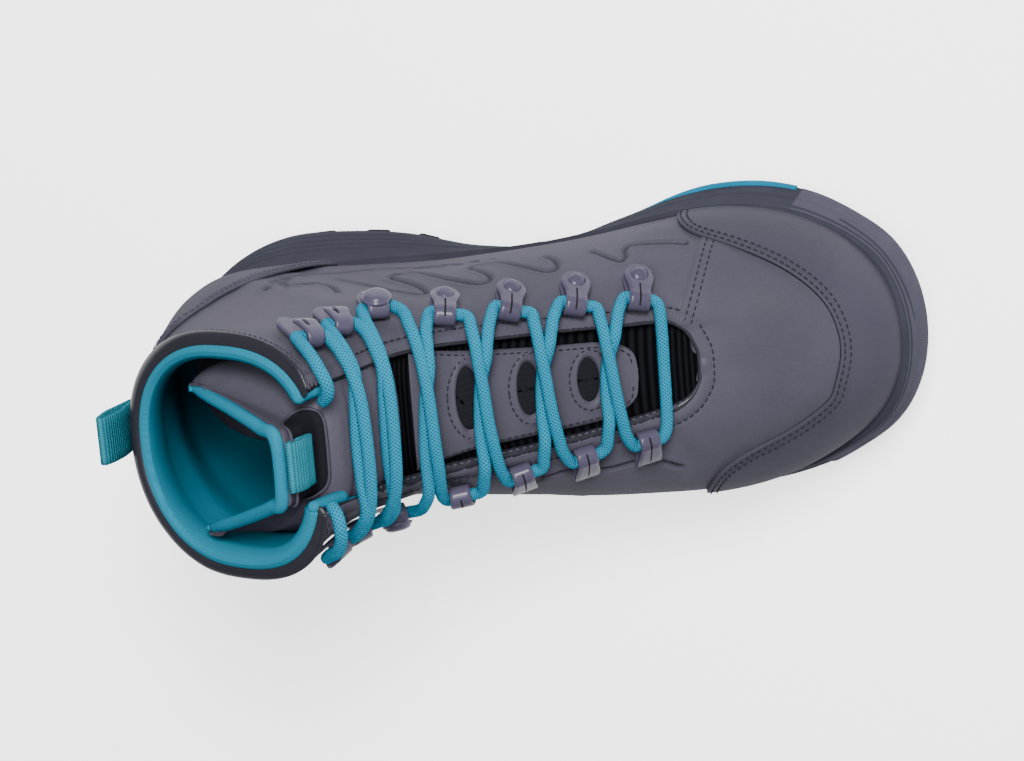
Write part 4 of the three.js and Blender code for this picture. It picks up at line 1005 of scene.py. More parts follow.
def build_tongue_lining():
    v = np.linspace(tongue_row(13.4), 10.95, 60)[:, None]
    share = np.linspace(-0.985, 0.985, 70)[None, :]
    points = tongue_points(v, share, TONGUE_DEPTH)
    inward = unit(points - tongue_points(v, share, 2.0))
    sheet_piece("tongue_lining", points + inward * 0.35, lining_cloth, "dark_textile")


def build_tongue_edge():
    share = np.linspace(-1, 1, 90)
    top = tongue_middle(TONGUE_END, share) + COLLAR_UP * 0.3
    left, right = (tongue_middle(np.linspace(9.9, 10.7, 5), end) for end in (-1, 1))
    line = curve_through(np.concatenate([left, top[3:-3:4], right[::-1]]), 1.2)
    radius = 2.35 - 0.8 * smooth((np.abs(np.linspace(-1, 1, len(line))) - 0.8) / 0.2)
    cord_piece("tongue_edge", line, radius, 14, edge_cloth, "dark_textile")


def build_tongue_patch():
    turn = np.linspace(0, 2 * math.pi, 73)[:-1]
    size = np.linspace(0, 1, 14)[1:]
    c, w = np.cos(turn), np.sin(turn)
    across = 0.23 * np.sign(c) * np.abs(c) ** 0.5
    middle = (tongue_row(15.95) + 10.8) / 2
    along = (10.8 - middle) * np.sign(w) * np.abs(w) ** 0.5
    rows = [tongue_points(middle + along * f, across * f, -(2.3 + 0.6 * (f < 0.99))) for f in size]
    patch = Parts()
    centre = tongue_points(middle, 0.0, -2.9)
    faces = grid_faces(len(size), 72, around=True, start=1).tolist()
    faces += [[0, 1 + k, 1 + (k + 1) % 72] for k in range(72)]
    patch.add(np.concatenate([[centre], np.concatenate(rows)]), faces)
    on_boot(patch.piece("tongue_patch_skin", dark_cloth), "dark_textile", "tongue_patch")
    ring = tongue_points(middle + along, across, -2.9)
    line = curve_through(np.concatenate([ring, ring[:2]]), 1.0)
    cord_piece("tongue_patch_edge", line, 0.55, 8, cap_skin, "upper_synthetic")


# Smooth cover on the tongue with three oval vents.
COVER = np.array([[6.8, -1.5, 1.5], [6.87, -8, 8], [7.15, -12.5, 12.5], [7.5, -14.5, 14.5], [8.2, -16, 16],
                  [9, -18, 18], [10, -21, 21], [10.8, -25, 25], [11.6, -29, 29]])
VENTS = [7.63, 8.66, 9.92]
VENT_LONG = 3.5
VENT_HALF = [8.2, 10.0, 11.8]
# About how many millimetres a station and a degree of the form are there.
STATION_SIZE = 17.0
DEGREE_SIZE = 0.85


def cover_ring(vent, grow, scale=1.0):
    # stations and angles of a ring that is oval as seen from above
    turn = np.linspace(0, 2 * math.pi, 61)
    middle = form(VENTS[vent], 0)
    x = middle[0] + (VENT_LONG + grow) * scale * np.cos(turn)
    y = middle[1] + (VENT_HALF[vent] + grow) * scale * np.sin(turn)
    rows = []
    for px, py in zip(x, y):
        station = VENTS[vent]
        angle = 0.0
        for _ in range(12):
            at = form(station, angle)
            station += (at[0] - px) / STATION_SIZE
            angle += (py - at[1]) / DEGREE_SIZE
        rows.append([station, angle])
    return np.array(rows)


def build_cover():
    level = np.linspace(0, 1, 220)
    row = spline(COVER, level * (len(COVER) - 1))
    share = np.linspace(0, 1, 84)[None, :]
    s = row[:, :1] + 0 * share
    a = row[:, 1:2] + (row[:, 2:] - row[:, 1:2]) * share
    top = tongue_top(s) + 2.8 - 0.9 * ridge(1 - np.abs(2 * share - 1), 0.06)
    flat = form(s, a)
    for k in range(3):
        away = flat - form(VENTS[k], 0)
        ring = np.hypot(away[..., 0] / VENT_LONG, away[..., 1] / VENT_HALF[k])
        top = top - 1.9 * smooth((1.12 - ring) / 0.2) + 0.4 * ridge(ring - 1.28, 0.14)
    sheet_piece("cover_skin", form_at(s, a, top), upper_skin, "upper_synthetic", "tongue_cover", thick=1.0)
    mesh = Parts()
    for k in range(3):
        rows = []
        for scale, out in ((0.0, 1.8), (0.3, 1.8), (0.6, 1.8), (0.85, 1.8), (0.97, 1.8), (1.0, 1.3)):
            ring = cover_ring(k, 0.2, scale)[:-1]
            rows.append(form_at(*ring.T, tongue_top(ring[:, 0]) + out))
        mesh.add(np.stack(rows), grid_faces(6, 60, around=True, flip=True).tolist())
        dashes = cover_ring(k, 3.0)
        part = dashes[(np.abs(np.linspace(0, 1, len(dashes)) - 0.5) < 0.42)]
        stitch_over("dark", surface_line(part), tongue_top(VENTS[k]) + 2.85, 1.7)
    on_boot(mesh.piece("vent_mesh", dark_cloth, False), "dark_textile")
    for side in (0, 1):
        edge = np.stack([row[:, 0], row[:, 1 + side]], axis=1)[8:]
        line = beside(edge, 2.0 if side else -2.0)
        stitch_over("dark", line, tongue_top(line[:, 0]) + 2.75)


for step in (build_tongue, build_tongue_leather, build_tongue_lining, build_tongue_edge, build_tongue_patch,
             build_cover):
    step()


# Sole outlines at equal turns from heel to toe: half widths of the upper's edge on the inner and outer
# side as shares of the last, and how much of the flare the sole adds on each side.
EDGE = np.array([
    [0.0, 0.0, 0.0, 0.0],
    [0.285, 0.27, 0.3, 0.2],
    [0.44, 0.408, 0.58, 0.42],
    [0.56, 0.515, 0.85, 0.62],
    [0.628, 0.577, 1.02, 0.74],
    [0.645, 0.6, 1.0, 0.76],
    [0.667, 0.63, 0.76, 0.72],
    [0.706, 0.69, 0.2, 0.62],
    [0.765, 0.783, -0.12, 0.52],
    [0.86, 0.918, 0.18, 0.42],
    [0.965, 0.988, 0.46, 0.38],
    [0.998, 0.98, 0.53, 0.38],
    [0.932, 0.883, 0.48, 0.36],
    [0.79, 0.721, 0.36, 0.3],
    [0.612, 0.537, 0.24, 0.24],
    [0.34, 0.295, 0.1, 0.1],
    [0.0, 0.0, 0.0, 0.0]])


def edge_at(t, flare, rim=0.0):
    # t runs from the heel along the inner side to the toe at 0.5 and back along the outer side
    t = np.asarray(t, float)
    inner = t <= 0.5
    turn = np.where(inner, 2 * t, 2 - 2 * t)
    row = spline(EDGE, turn * (len(EDGE) - 1), -EDGE[1], -EDGE[-2])
    c = np.cos(math.pi * turn)
    start = 5.5 * (1 - flare) - rim
    end = 0.975 * LENGTH + 0.025 * LENGTH * flare + rim
    x = start + (end - start) * (1 - c) / 2
    side = np.sqrt(np.maximum(0, 1 - c * c))
    half = np.where(
        inner, row[..., 0] * LAST_MEDIAL + row[..., 2] * FLARE * flare,
        row[..., 1] * LAST_LATERAL + row[..., 3] * FLARE * flare) + rim * side
    return np.stack([x, np.where(inner, half, -half)], axis=-1)


def bottom_at(x):
    places = [0, 0.045, 0.28, 0.34, 0.4, 0.47, 0.53, 0.75, 0.83, 0.92, 1]
    heights = [0.22 * TOE_SPRING, 0, 0, 0.8 * ARCH_RISE, ARCH_RISE, 0.7 * ARCH_RISE, 0, 0, 0.16 * TOE_SPRING,
               0.52 * TOE_SPRING, TOE_SPRING]
    return np.interp(x / LENGTH, places, heights)


def outsole_top_at(x):
    return OUTSOLE * np.interp(
        x / LENGTH, [0, 0.06, 0.28, 0.4, 0.53, 0.72, 0.85, 1], [1.15, 1, 1, 1.3, 0.9, 0.88, 1.15, 1.95])


def rim_top_at(x):
    cup = CUP * np.interp(x / LENGTH, [0, 0.1, 0.2, 0.3, 0.36, 1], [1, 1, 0.72, 0.34, 0.2, 0.2])
    bumper = BUMPER_RISE * np.interp(x / LENGTH, [0.83, 0.9, 0.95, 0.985], [0, 0.22, 0.62, 1])
    return feather_at(x) + cup + bumper


def ribbed(x):
    # 1 round the heel, where the sole's side has all its ribs
    share = x / LENGTH
    return smooth((0.36 - share) / 0.08)


# Side of the sole from the outsole up to the rim: level, share of the flare.
SIDE = np.array([[0, 0.93], [0.13, 1.0], [0.3, 0.9], [0.43, 0.76], [0.57, 0.6], [0.7, 0.46], [0.86, 0.22],
                 [1.0, 0.05]])
RIBS = [0.32, 0.45, 0.58, 0.7]


def side_points(t, level, extra=0.0, grooves=1.0):
    # the sole's side at turns t, from 0 at the outsole to 1 at the rim
    flare = np.interp(level, SIDE[:, 0], SIDE[:, 1])
    p = edge_at(t, flare)
    x = p[..., 0]
    low = outsole_top_at(x) + 0.3
    z = low + (rim_top_at(x) - low) * level
    cup = np.where(x < LENGTH / 2, np.interp(x / LENGTH, [0, 0.22, 0.36, 0.45], [1.5, 1.5, 0.4, 0.1]), 0.0)
    groove = 0 * level
    for rib in RIBS:
        groove = groove + ridge(level - rib, 0.022) * ribbed(x)
    groove = groove + ridge(level - 0.6, 0.03) * (1 - np.minimum(1, ribbed(x)))
    rim = RIM * (level * (0.9 + cup) + 0.15) - groove * 1.2 * grooves + extra
    out = unit(np.stack([x - 0.42 * LENGTH, p[..., 1] * 1.8], axis=-1))
    return np.concatenate([p + out * rim[..., None], z[..., None]], axis=-1)


def build_midsole():
    # rings from the outsole up over the rim and down behind it
    turns = np.linspace(0, 1, 361)[:-1]
    level = np.linspace(0, 1, 90)
    t, v = np.meshgrid(turns, level)
    rows = side_points(t, v)
    inward = np.stack([edge_at(turns, 0.0, -r) for r in (0.0, 2.0, 5.0)])
    lid = []
    for ring, z in zip(inward, (0.0, -0.8, -6.0)):
        height = rim_top_at(ring[:, 0]) + z
        lid.append(np.column_stack([ring, height]))
    bottom = np.column_stack([edge_at(turns, 0.9)[:, :2], outsole_top_at(edge_at(turns, 0.9)[:, 0]) + 0.1])
    points = np.concatenate([bottom[None], rows, np.stack(lid)])
    piece = new_piece("midsole_side", points.reshape(-1, 3), closed_plan(*points.shape[:2]), midsole_rubber)
    weld(piece, True)
    on_boot(piece, "midsole_foam", "midsole")


BUMPER_TURNS = (0.3705, 0.6167)


def build_bumper():
    # the sole's side at the toe, with a thick lower band and two pressed lines
    t = np.linspace(*BUMPER_TURNS, 170)[None, :]
    level = np.linspace(0, 1, 80)[:, None]
    flat = 0 * t * level
    line = 0.66 + 0.1 * np.sin((t - 0.38) / 0.12 * math.pi)
    reach = smooth((t - 0.398) / 0.006) * smooth((0.5 - t) / 0.03)
    extra = 0.25 + 0.55 * smooth((0.62 - level) / 0.05) - 1.3 * ridge(level - line, 0.03) * reach
    extra = extra - 1.3 * ridge(level - 0.88, 0.035) - 0.9 * smooth((level - 0.96) / 0.04)
    points = side_points(t + flat, level + flat, extra + flat, grooves=0.0)
    sheet_piece("bumper_skin", points, bumper_rubber, "bumper_rubber", "toe_bumper", thick=2.2, flip=True)


def build_insert():
    # coloured crescent on the inner side, highest in its middle
    t = np.linspace(0.27, 0.3685, 60)
    swell = np.sin(math.pi * (t - 0.262) / 0.118) ** 0.7
    out = np.array([edge_at(k, 1.0, 0.45 - 1.6 * float(1 - smooth((k - 0.29) / 0.035))) for k in t])
    x = out[:, 0]
    height = 1.2 + 2.2 * swell
    line = np.column_stack([out, outsole_top_at(x) + 2.4 + height / 2])
    insert = Parts()
    ribbon(insert, line, [0, 0, 1], height, 2.6)
    on_boot(insert.piece("side_stripe", teal_rubber), "accent_rubber", "side_insert")


def build_insole():
    # a bed whose edge rises a little
    turns = np.linspace(0, 1, 181)[:-1]
    ring = edge_at(turns, 0.0, -WALL - 4.3)
    rows = []
    for share in np.linspace(0, 1, 16):
        z = feather_at(ring[:, 0]) + 4.3 + 2.2 * share ** 6
        rows.append(np.column_stack([ring[:, 0], ring[:, 1] * share, z]))
    rows.append(np.column_stack([ring, feather_at(ring[:, 0]) + 0.6]))
    sheet_piece("insole_cloth", np.stack(rows), dark_cloth, "dark_textile", "insole", around=True)


for step in (build_midsole, build_bumper, build_insert, build_insole):
    step()


def plan_ring(inset, count=180):
    return edge_at(np.linspace(0, 1, count + 1)[:-1], 1.0, -inset)


LUG_SIZE = 7.2
INNER_LUG = 5.6
LUG_PITCH = 22.0
# Inner lugs: place along, place across. Lugs of the spine: place along, place across, size.
INNER_LUGS = [
    (0.16, 0.42), (0.16, -0.44), (0.25, 0.4), (0.25, -0.45), (0.53, -0.55), (0.56, 0.42), (0.62, 0.62),
    (0.62, -0.64), (0.7, 0.62), (0.7, -0.66), (0.78, 0.55), (0.78, -0.58), (0.86, 0.4), (0.86, -0.42),
    (0.93, 0.0)]
SPINE_LUGS = [(0.1, 0, 1), (0.155, 0, 0.95), (0.205, 0.2, 0.95), (0.21, -0.22, 0.95), (0.26, 0, 0.9),
              (0.55, 0.02, 0.95), (0.605, 0.2, 0.9), (0.61, -0.2, 0.9), (0.67, 0, 1), (0.735, 0.18, 0.9),
              (0.74, -0.2, 0.9), (0.8, 0, 1)]
# Coloured middle of the outsole: place along, half width.
SPINE = np.array([
    [0.062, 0.14], [0.105, 0.33], [0.13, 0.17], [0.165, 0.2], [0.18, 0.5], [0.2, 0.36], [0.235, 0.56],
    [0.24, 0.22], [0.28, 0.2], [0.3, 0.44], [0.335, 0.3], [0.38, 0.14], [0.46, 0.14], [0.52, 0.22],
    [0.55, 0.4], [0.585, 0.24], [0.61, 0.46], [0.65, 0.24], [0.69, 0.26], [0.715, 0.48], [0.75, 0.26],
    [0.8, 0.34], [0.84, 0.12]])
OUTLINE = plan_ring(1.5, 720)
# A lug from its root down to its hollow end: share of the depth, share of the radius.
LUG_PROFILE = [(-0.3, 1.1), (0, 1.06), (0.72, 0.98), (0.94, 0.93), (1, 0.85), (1, 0.5), (0.78, 0.4)]


def inside_outline(points):
    # points past the sole's outline come back to it
    for side in (1, -1):
        half = OUTLINE[OUTLINE[:, 1] * side >= 0]
        half = half[np.argsort(half[:, 0])]
        limit = np.interp(points[:, 0], half[:, 0], np.abs(half[:, 1]))
        points[:, 1] = side * np.minimum(points[:, 1] * side, limit)
    points[:, 0] = np.clip(points[:, 0], OUTLINE[:, 0].min(), OUTLINE[:, 0].max())
    return points


def add_lug(parts, x, y, radius, turn):
    corners = turn + np.repeat(np.arange(6), 2) * math.pi / 3 + np.tile([-0.13, 0.13], 6)
    rows = []
    way = np.stack([np.cos(corners), np.sin(corners)], axis=1)
    for share, scale in LUG_PROFILE:
        ring = inside_outline([x, y] + radius * scale * way)
        rows.append(np.column_stack([ring, bottom_at(ring[:, 0]) + LUG_DEPTH * (1 - share)]))
    parts.add(np.stack(rows), closed_rings(len(rows), 12))


def add_edge_lugs(parts):
    samples = edge_at(np.arange(36) / 36, 1.0, -0.72 * LUG_SIZE)
    run = 0.0
    for a, b in zip(samples, np.roll(samples, -1, axis=0)):
        step = np.linalg.norm(b - a)
        while run < step:
            at = a + (b - a) * run / step
            if at[0] > 0.1 * LENGTH:
                add_lug(parts, at[0], at[1], LUG_SIZE, math.atan2(b[1] - a[1], b[0] - a[0]))
            run += LUG_PITCH
        run -= step


def build_outsole():
    rows = []
    for share, inset in [(0.0, 2.6), (0.06, 1.6), (0.94, 1.2), (1.0, 1.5)]:
        ring = plan_ring(inset)
        low = bottom_at(ring[:, 0]) + LUG_DEPTH
        rows.append(np.column_stack([ring, low + (outsole_top_at(ring[:, 0]) - low) * share]))
    tread = Parts()
    tread.add(np.stack(rows), closed_plan(len(rows), len(rows[0])))
    add_edge_lugs(tread)
    for x, y in INNER_LUGS:
        add_lug(tread, x * LENGTH, y * LAST_LATERAL, INNER_LUG, 0.3)
    # one wide lug round the back of the heel
    heel = np.linspace(-0.045, 0.045, 26)
    outer = edge_at(heel % 1.0, 1.0, -0.4)
    inner = edge_at(heel % 1.0, 1.0, -12.0)
    ring = np.concatenate([outer, inner[::-1]])
    rings = []
    for share, shrink in ((-0.3, 0.0), (0.8, 0.03), (1.0, 0.1)):
        r = ring + (ring.mean(0) - ring) * shrink
        rings.append(np.column_stack([r, bottom_at(r[:, 0]) + LUG_DEPTH * (1 - share)]))
    faces = grid_faces(3, 52, around=True).tolist()
    faces += [[j, j + 1, 50 - j, 51 - j][::-1] for j in range(25)]
    faces += [[104 + v for v in (j, j + 1, 50 - j, 51 - j)] for j in range(25)]
    tread.add(np.stack(rings), faces)
    facet(on_boot(tread.piece("outsole_tread", outsole_rubber), "outsole_rubber", "outsole"))


def build_spine():
    # coloured middle of the outsole, with lugs of its own
    x = np.linspace(SPINE[0, 0], SPINE[-1, 0], 150)
    half = np.interp(x, SPINE[:, 0], SPINE[:, 1]) * LAST_LATERAL
    x = x * LENGTH
    low = bottom_at(x) + LUG_DEPTH
    section = ((half, 1.5), (half, -1.2), (half - 0.8, -1.9), (0.8 - half, -1.9), (-half, -1.2), (-half, 1.5))
    ring = np.stack([np.column_stack([x, y, low + z]) for y, z in section], axis=1)
    spine = Parts()
    spine.add(ring, closed_rings(150, 6))
    for share, side, grow in SPINE_LUGS:
        add_lug(spine, share * LENGTH, side * LAST_LATERAL, INNER_LUG * grow, 0.0)
    facet(on_boot(spine.piece("spine_tread", teal_rubber), "accent_rubber", "outsole_spine"))


build_outsole()
build_spine()


# Collar's front ends: rounded facings from the outer skin to the lining.
def build_facings():
    s = np.concatenate([np.linspace(13.2, 17.5, 40), np.linspace(17.5, 18.04, 14)[1:]])
    outer = np.interp(s, [13.2, 17.7, 17.8, 17.9, 17.97, 18.04], [-0.6, -0.6, 0.9, 0.6, -0.8, -2.4])
    rounded = np.interp(s, [17.5, 17.72, 17.88, 18, 18.04], [-8, -7.6, -6.6, -5, -3.4])
    inner = np.where(s > 17.5, rounded, -wall_at(s))
    v = np.linspace(0, 1, 16)
    for side, name in ((1, "collar_end_inside"), (-1, "collar_end_outside")):
        angle = np.array([side * throat_angle(min(k, FACING_TOP), side) for k in s])
        at = np.minimum(s, COLLAR)
        turned = unit(form(at, angle - 2 * side) - form(at, angle))
        out = outer[:, None] + (inner - outer)[:, None] * v
        points = form_at(at[:, None], angle[:, None] + side * 0.4, out)
        swell = 0.32 * (outer - inner)[:, None] * np.sin(math.pi * v) ** 0.8
        points = points + turned[:, None, :] * swell[..., None]
        piece = new_piece(name, points.reshape(-1, 3), grid_faces(*points.shape[:2]), lining_cloth)
        piece.data.materials.append(collar_skin)
        middle = np.array([face.center[:] for face in piece.data.polygons])
        share = (np.arange(len(middle)) % (len(v) - 1)) / (len(v) - 1)
        piece.data.polygons.foreach_set("material_index", (share < 0.42).astype(np.int32))
        on_boot(piece, "dark_textile")


def build_front_piping():
    piping = Parts()
    for side, low in ((1, 16.4), (-1, 15.2)):
        s = np.linspace(17.85, low, 24)
        angle = np.array([side * (throat_angle(min(k, FACING_TOP), side) - 1.5) for k in s])
        depth = np.linspace(-4.6, -3.4, 24)
        tube(piping, curve_through(form_at(s, angle, depth)[::2], 1.2), 2.3, 14)
    on_boot(piping.piece("collar_front_piping", lining_cloth), "dark_textile")


def build_collar_edge():
    a = collar_angles(200)
    line = np.stack([quarter_top(a), a], axis=1)
    points, _ = on_form(line, 0.25)
    cord_piece("quarter_edge", points, 0.85, 10, cap_skin, "upper_synthetic")
    for drop in (-2.4, -4.6):
        stitch_over("grey", beside(surface_line(line), drop), 0.05)
    for angle in (140, 152, 164, 196, 208, 220):
        rows = [[quarter_top(angle) + 0.1, angle], [17.6, angle], [17.93, angle]]
        stitch_over("dark", surface_line(rows), 0.75)


def build_upper_stitches():
    seam = surface_line(VAMP_SEAM)
    for distance in (-2.0, -4.6):
        stitch_over("dark", beside(seam[2:-6], distance), 0.75)
    a = np.linspace(-80, 92, 60)
    cap = np.stack([cap_station(a), a], axis=1)
    for distance in (-1.4, -3.7):
        stitch_over("dark", beside(surface_line(cap), distance), OVERLAY + 0.05)
    round_edge = np.vstack([THROAT_EDGES[-1][::-1][:-1:3], THROAT_EDGES[1][1::3]])
    round_edge = surface_line(round_edge[round_edge[:, 0] < 13.6])
    stitch_over("dark", beside(round_edge, -5.2), 0.0)
    edge = np.vstack([THROAT_EDGES[-1][::-1][:-1:2], THROAT_EDGES[1][1::2]])
    edge = surface_line(edge[edge[:, 0] < 13.2])
    radius = 0.75 + 1.15 * smooth((-edge[:, 1] - 6) / 8)
    line, normals = on_form(edge, -radius)
    radius = radius * (1 + 0.05 * np.sin(line[:, 0] * 1.3) * np.sin(line[:, 0] * 0.37))
    outer = edge[:, 1] < -9
    tilted = unit(normals[outer] + [0, 1.2, 0])
    stitch_row(STITCHES["grey"], line[outer] + (radius[outer] - 0.3)[:, None] * tilted, tilted)
    cord_piece("throat_binding", line, radius, 12, collar_skin, "dark_textile")
    for side in (1, -1):
        for back in (2.2, 4.6):
            line, normals = [], []
            for z in np.linspace(40, 120, 34):
                front = np.interp(z, COUNTER[:, 0], COUNTER[:, 1]) - back
                near = heel_slice(z, side, front, 12, OVERLAY + 0.1)
                way = near[-1] - near[-2]
                line.append(near[-1])
                normals.append(unit(np.array([-way[1], way[0], 0.0]) * side))
            stitch_row(STITCHES["grey"], np.array(line), np.array(normals))
    for drop in (2.4, 4.8):
        z = COUNTER_TOP - drop
        front = np.interp(z, COUNTER[:, 0], COUNTER[:, 1]) - 4
        inner, outer = (heel_slice(z, side, front, 40, OVERLAY + 0.1) for side in (1, -1))
        line = np.vstack([outer[::-1], inner[1:]])
        way = np.gradient(line, axis=0)
        normals = unit(np.stack([-way[:, 1], way[:, 0], 0 * way[:, 0]], axis=1))
        stitch_row(STITCHES["grey"], line, normals)


# Webbing pull loops.
def web_loop(height, depth):
    # closed outline of a webbing loop seen from its edge, narrower at its foot
    half = depth / 2 - 0.8
    straight = height - depth
    path = []
    for k in range(64):
        turn = 2 * math.pi * k / 64
        c, w = math.cos(turn), math.sin(turn)
        pinch = 0.55 + 0.45 * smooth((w + 0.6) / 0.9)
        rise = (straight / 2 + half) * w * (1 if w > 0 else 0.98)
        path.append([half * pinch * c, depth / 2 + straight / 2 + rise])
    return np.array(path)


def build_pull_loops():
    sideways = np.array([0.0, 1.0, 0.0])
    out = form_normal(17.5, 180.0) * [1, 0, 1]
    out = unit(out * [1, 1, 0])
    up = np.cross(sideways, out)
    up = up if up[2] > 0 else -up
    seat = form(17.05, 180.0) + out * 4.1
    path = web_loop(34, 7)
    line = seat + path[:, :1] * out + path[:, 1:] * up
    loop = Parts()
    ribbon(loop, line, sideways, 17, 1.6, closed=True)
    base = form_at(np.linspace(16.95, 17.2, 8), 180.0, 0.9)
    ribbon(loop, base, sideways, 17, 1.4)
    on_boot(loop.piece("heel_webbing", webbing), "webbing", "heel_pull_loop")
    out = form_normal(17.5, 0.0)
    up = np.cross(out, sideways)
    seat = form(17.5, 0.0) + out * (float(tongue_top(17.5)) + 5.2)
    path = web_loop(16, 4.8)
    line = seat + path[:, :1] * out + path[:, 1:] * up
    tab = Parts()
    ribbon(tab, line, sideways, 17, 1.6, closed=True)
    on_boot(tab.piece("tongue_webbing", webbing), "webbing", "tongue_pull_loop")


# Lace loops and hooks: station, angle inside, angle outside.
FITTINGS = [(6.85, 29, -22), (7.95, 32, -25), (9.12, 35, -31), (10.6, 39, -43),
            (12.4, 51, -56), (13.95, 46, -50), (15.9, 49, -46)]
STRAP = 1.4
HOLE = 2.6
HOLE_WIDE = 3.1
LACE_UP = STRAP + HOLE


def seat(number, side):
    # where a fitting sits, and its directions to the throat, outwards and along the boot
    station, angle = FITTINGS[number][0], FITTINGS[number][1 if side > 0 else 2]
    at, out = form(station, angle), form_normal(station, angle)
    towards = form(station, angle - 2.3 * side) - at
    towards = unit(towards - out * np.dot(towards, out))
    return at + out * 0.6, towards, out, np.cross(towards, out)


def dome(parts, x, y, radius, height):
    # a rivet's head with a thin flange
    profile = np.array([[1.12, -0.25], [1.12, 0.12], [1.0, 0.22], [0.98, 0.3], [0.9, 0.6], [0.72, 0.84],
                        [0.45, 0.96], [0.15, 1.0]])
    turn = np.arange(24) * math.pi / 12
    ring = np.stack([x + radius * profile[:, :1] * np.cos(turn), y + height * profile[:, 1:] + 0 * turn,
                     radius * profile[:, :1] * np.sin(turn)], axis=-1)
    parts.add(ring, closed_rings(len(profile), 24))


def strap_width(x, neck, head, middle=-8.6):
    round_end = np.sqrt(np.maximum(0.5, head ** 2 - np.minimum(x - middle, 0) ** 2))
    return 2 * np.where(x < middle, round_end, neck + (head - neck) * smooth((-2 - x) / (-2 - middle)))


def bend(start, end, count):
    # the strap's way round the lace, between two angles
    turn = np.radians(np.linspace(start, end, count))
    across, up = HOLE_WIDE + STRAP / 2, HOLE + STRAP / 2
    return np.stack([across * np.cos(turn), LACE_UP + up * np.sin(turn)], axis=1)


def flat_line(path):
    return np.column_stack([path, np.zeros(len(path))])


def loop_leaf(domed):
    # the strap's upper leaf, longer under a domed rivet
    rest = [(-3.0, 6.35), (-5.5, 5.5), (-8.0, 4.4), (-10.5, 3.2), (-13.6, 2.15)] if domed else [
        (-3.0, 6.1), (-5.2, 5.0), (-7.4, 3.7), (-9.6, 2.2)]
    return curve_through([bend(100, 104, 2)[0]] + rest, 0.6)


def loop_shape(domed):
    parts = Parts()
    lower = np.column_stack([np.linspace(-13.6 if domed else -9.6, -0.5, 26), np.full(26, STRAP / 2)])
    path = np.vstack([lower, bend(-88, 100, 20)[:-1], loop_leaf(domed)])
    width = strap_width(path[:, 0], 3.85, 5.3) if domed else 2 * (3.8 + 0.9 * smooth((-1 - path[:, 0]) / 7))
    ribbon(parts, flat_line(path), [0, 0, 1], width, STRAP, groove=0.3)
    if domed:
        dome(parts, -9.0, 4.3, 3.1, 1.9)
    return parts


def hook_shape(size, knob):
    parts = Parts()
    lower = np.column_stack([np.linspace(-17.2, -0.5, 34), np.full(34, STRAP / 2)])
    top = curve_through([bend(100, 104, 2)[0], (-3.4, 7.25), (-5.4, 6.95), (-7.4, 6.1), (-8.2, 5.3)], 0.5)
    path = np.vstack([lower, bend(-88, 100, 22)[:-1], top])
    width = strap_width(path[:, 0], 3.3, 4.5, -12.7)
    past = np.arange(len(path)) >= len(lower) + 16
    tip = 2 * np.interp(path[:, 0], [-8.2, -7.8, -6.8, -4.5, -1, 3], [1.6, 2.9, 3.9, 4.2, 3.7, 3.3])
    ribbon(parts, flat_line(path), [0, 0, 1], np.where(past, tip, width) * size, STRAP)
    dome(parts, -12.7, 1.5, 3.2, 1.5)
    if knob:
        dome(parts, -1.6, 7.3, 4.9, 2.4)
    return parts


def cut_slot(parts):
    # a slot through the top leaf of a hook
    made = parts.piece("hook", painted_metal)
    turn = np.linspace(0, 2 * math.pi, 25)[:-1]
    ring = np.column_stack([-3.6 + 2.6 * np.cos(turn), 0 * turn, 0.9 + 0.95 * np.sin(turn)])
    ends = np.concatenate([ring + [0, 4.6, 0], ring + [0, 10, 0]])
    cutter = new_piece("cutter", ends, closed_rings(2, 24), painted_metal)
    weld(cutter, True)
    apply(made, "BOOLEAN", object=cutter, operation="DIFFERENCE", solver="EXACT")
    bpy.data.objects.remove(cutter)
    cut = Parts()
    points = np.array([v.co[:] for v in made.data.vertices]) * 1000 - ORIGIN
    cut.add(points, [list(face.vertices) for face in made.data.polygons])
    bpy.data.objects.remove(made)
    return cut


def build_fittings():
    hooks = [hook_shape(1.15, True), cut_slot(hook_shape(1.0, False))]
    grooves = Parts()
    for number in range(7):
        label = f"lace_loop_{{}}_{number + 1}" if number < 4 else f"lace_hook_{{}}_{number - 3}"
        for side, word in ((1, "medial"), (-1, "lateral")):
            at, towards, out, along = seat(number, side)
            shape = loop_shape(side > 0) if number < 4 else hooks[0 if number == 4 else 1]
            if number < 4:
                top = np.vstack([bend(40, 98, 8), loop_leaf(side > 0)])
                top = top[top[:, 0] > (-5.4 if side > 0 else -9)] + [0.1, 0.5]
                # painted shade: a thin dark cord laid along each strap's centre groove stands for the shadow
                # in it
                tube(grooves, at + top[:, :1] * towards + top[:, 1:] * out, 0.42, 8)
            points = np.concatenate(shape.points)
            points = at + points[:, :1] * towards + points[:, 1:2] * out + points[:, 2:] * along
            placed = Parts()
            placed.add(points, shape.faces)
            node = label.format(word)
            on_boot(placed.piece(node.replace("lace_", "metal_"), painted_metal), "hardware", node)
    # painted shade: the dark cords along the straps' grooves
    on_boot(grooves.piece("strap_groove_shade", outsole_rubber), "hardware")


# Lace: one line through all the fittings, and its two ends.
MIDDLE_LOW = 1.6  # height of the lower strand where two cross
MIDDLE_HIGH = 6.2  # height of the upper strand there
EDGE_LIFT = 2.1
LACE_HALF = 2.25
TOP_ON_INSIDE = 4  # the crossing at which the strand from the inner side lies on top


def through(number, side):
    # the lace's way through a loop or hook, towards the heel
    at, _, out, along = seat(number, side)
    station, angle = FITTINGS[number][0], FITTINGS[number][1 if side > 0 else 2]
    heelwards = along * np.sign(np.dot(along, form(station + 0.1, angle) - form(station, angle)))
    middle = at + out * LACE_UP
    return [middle + heelwards * reach for reach in (-5.2, -2.6, 0.0, 2.6, 5.2)]


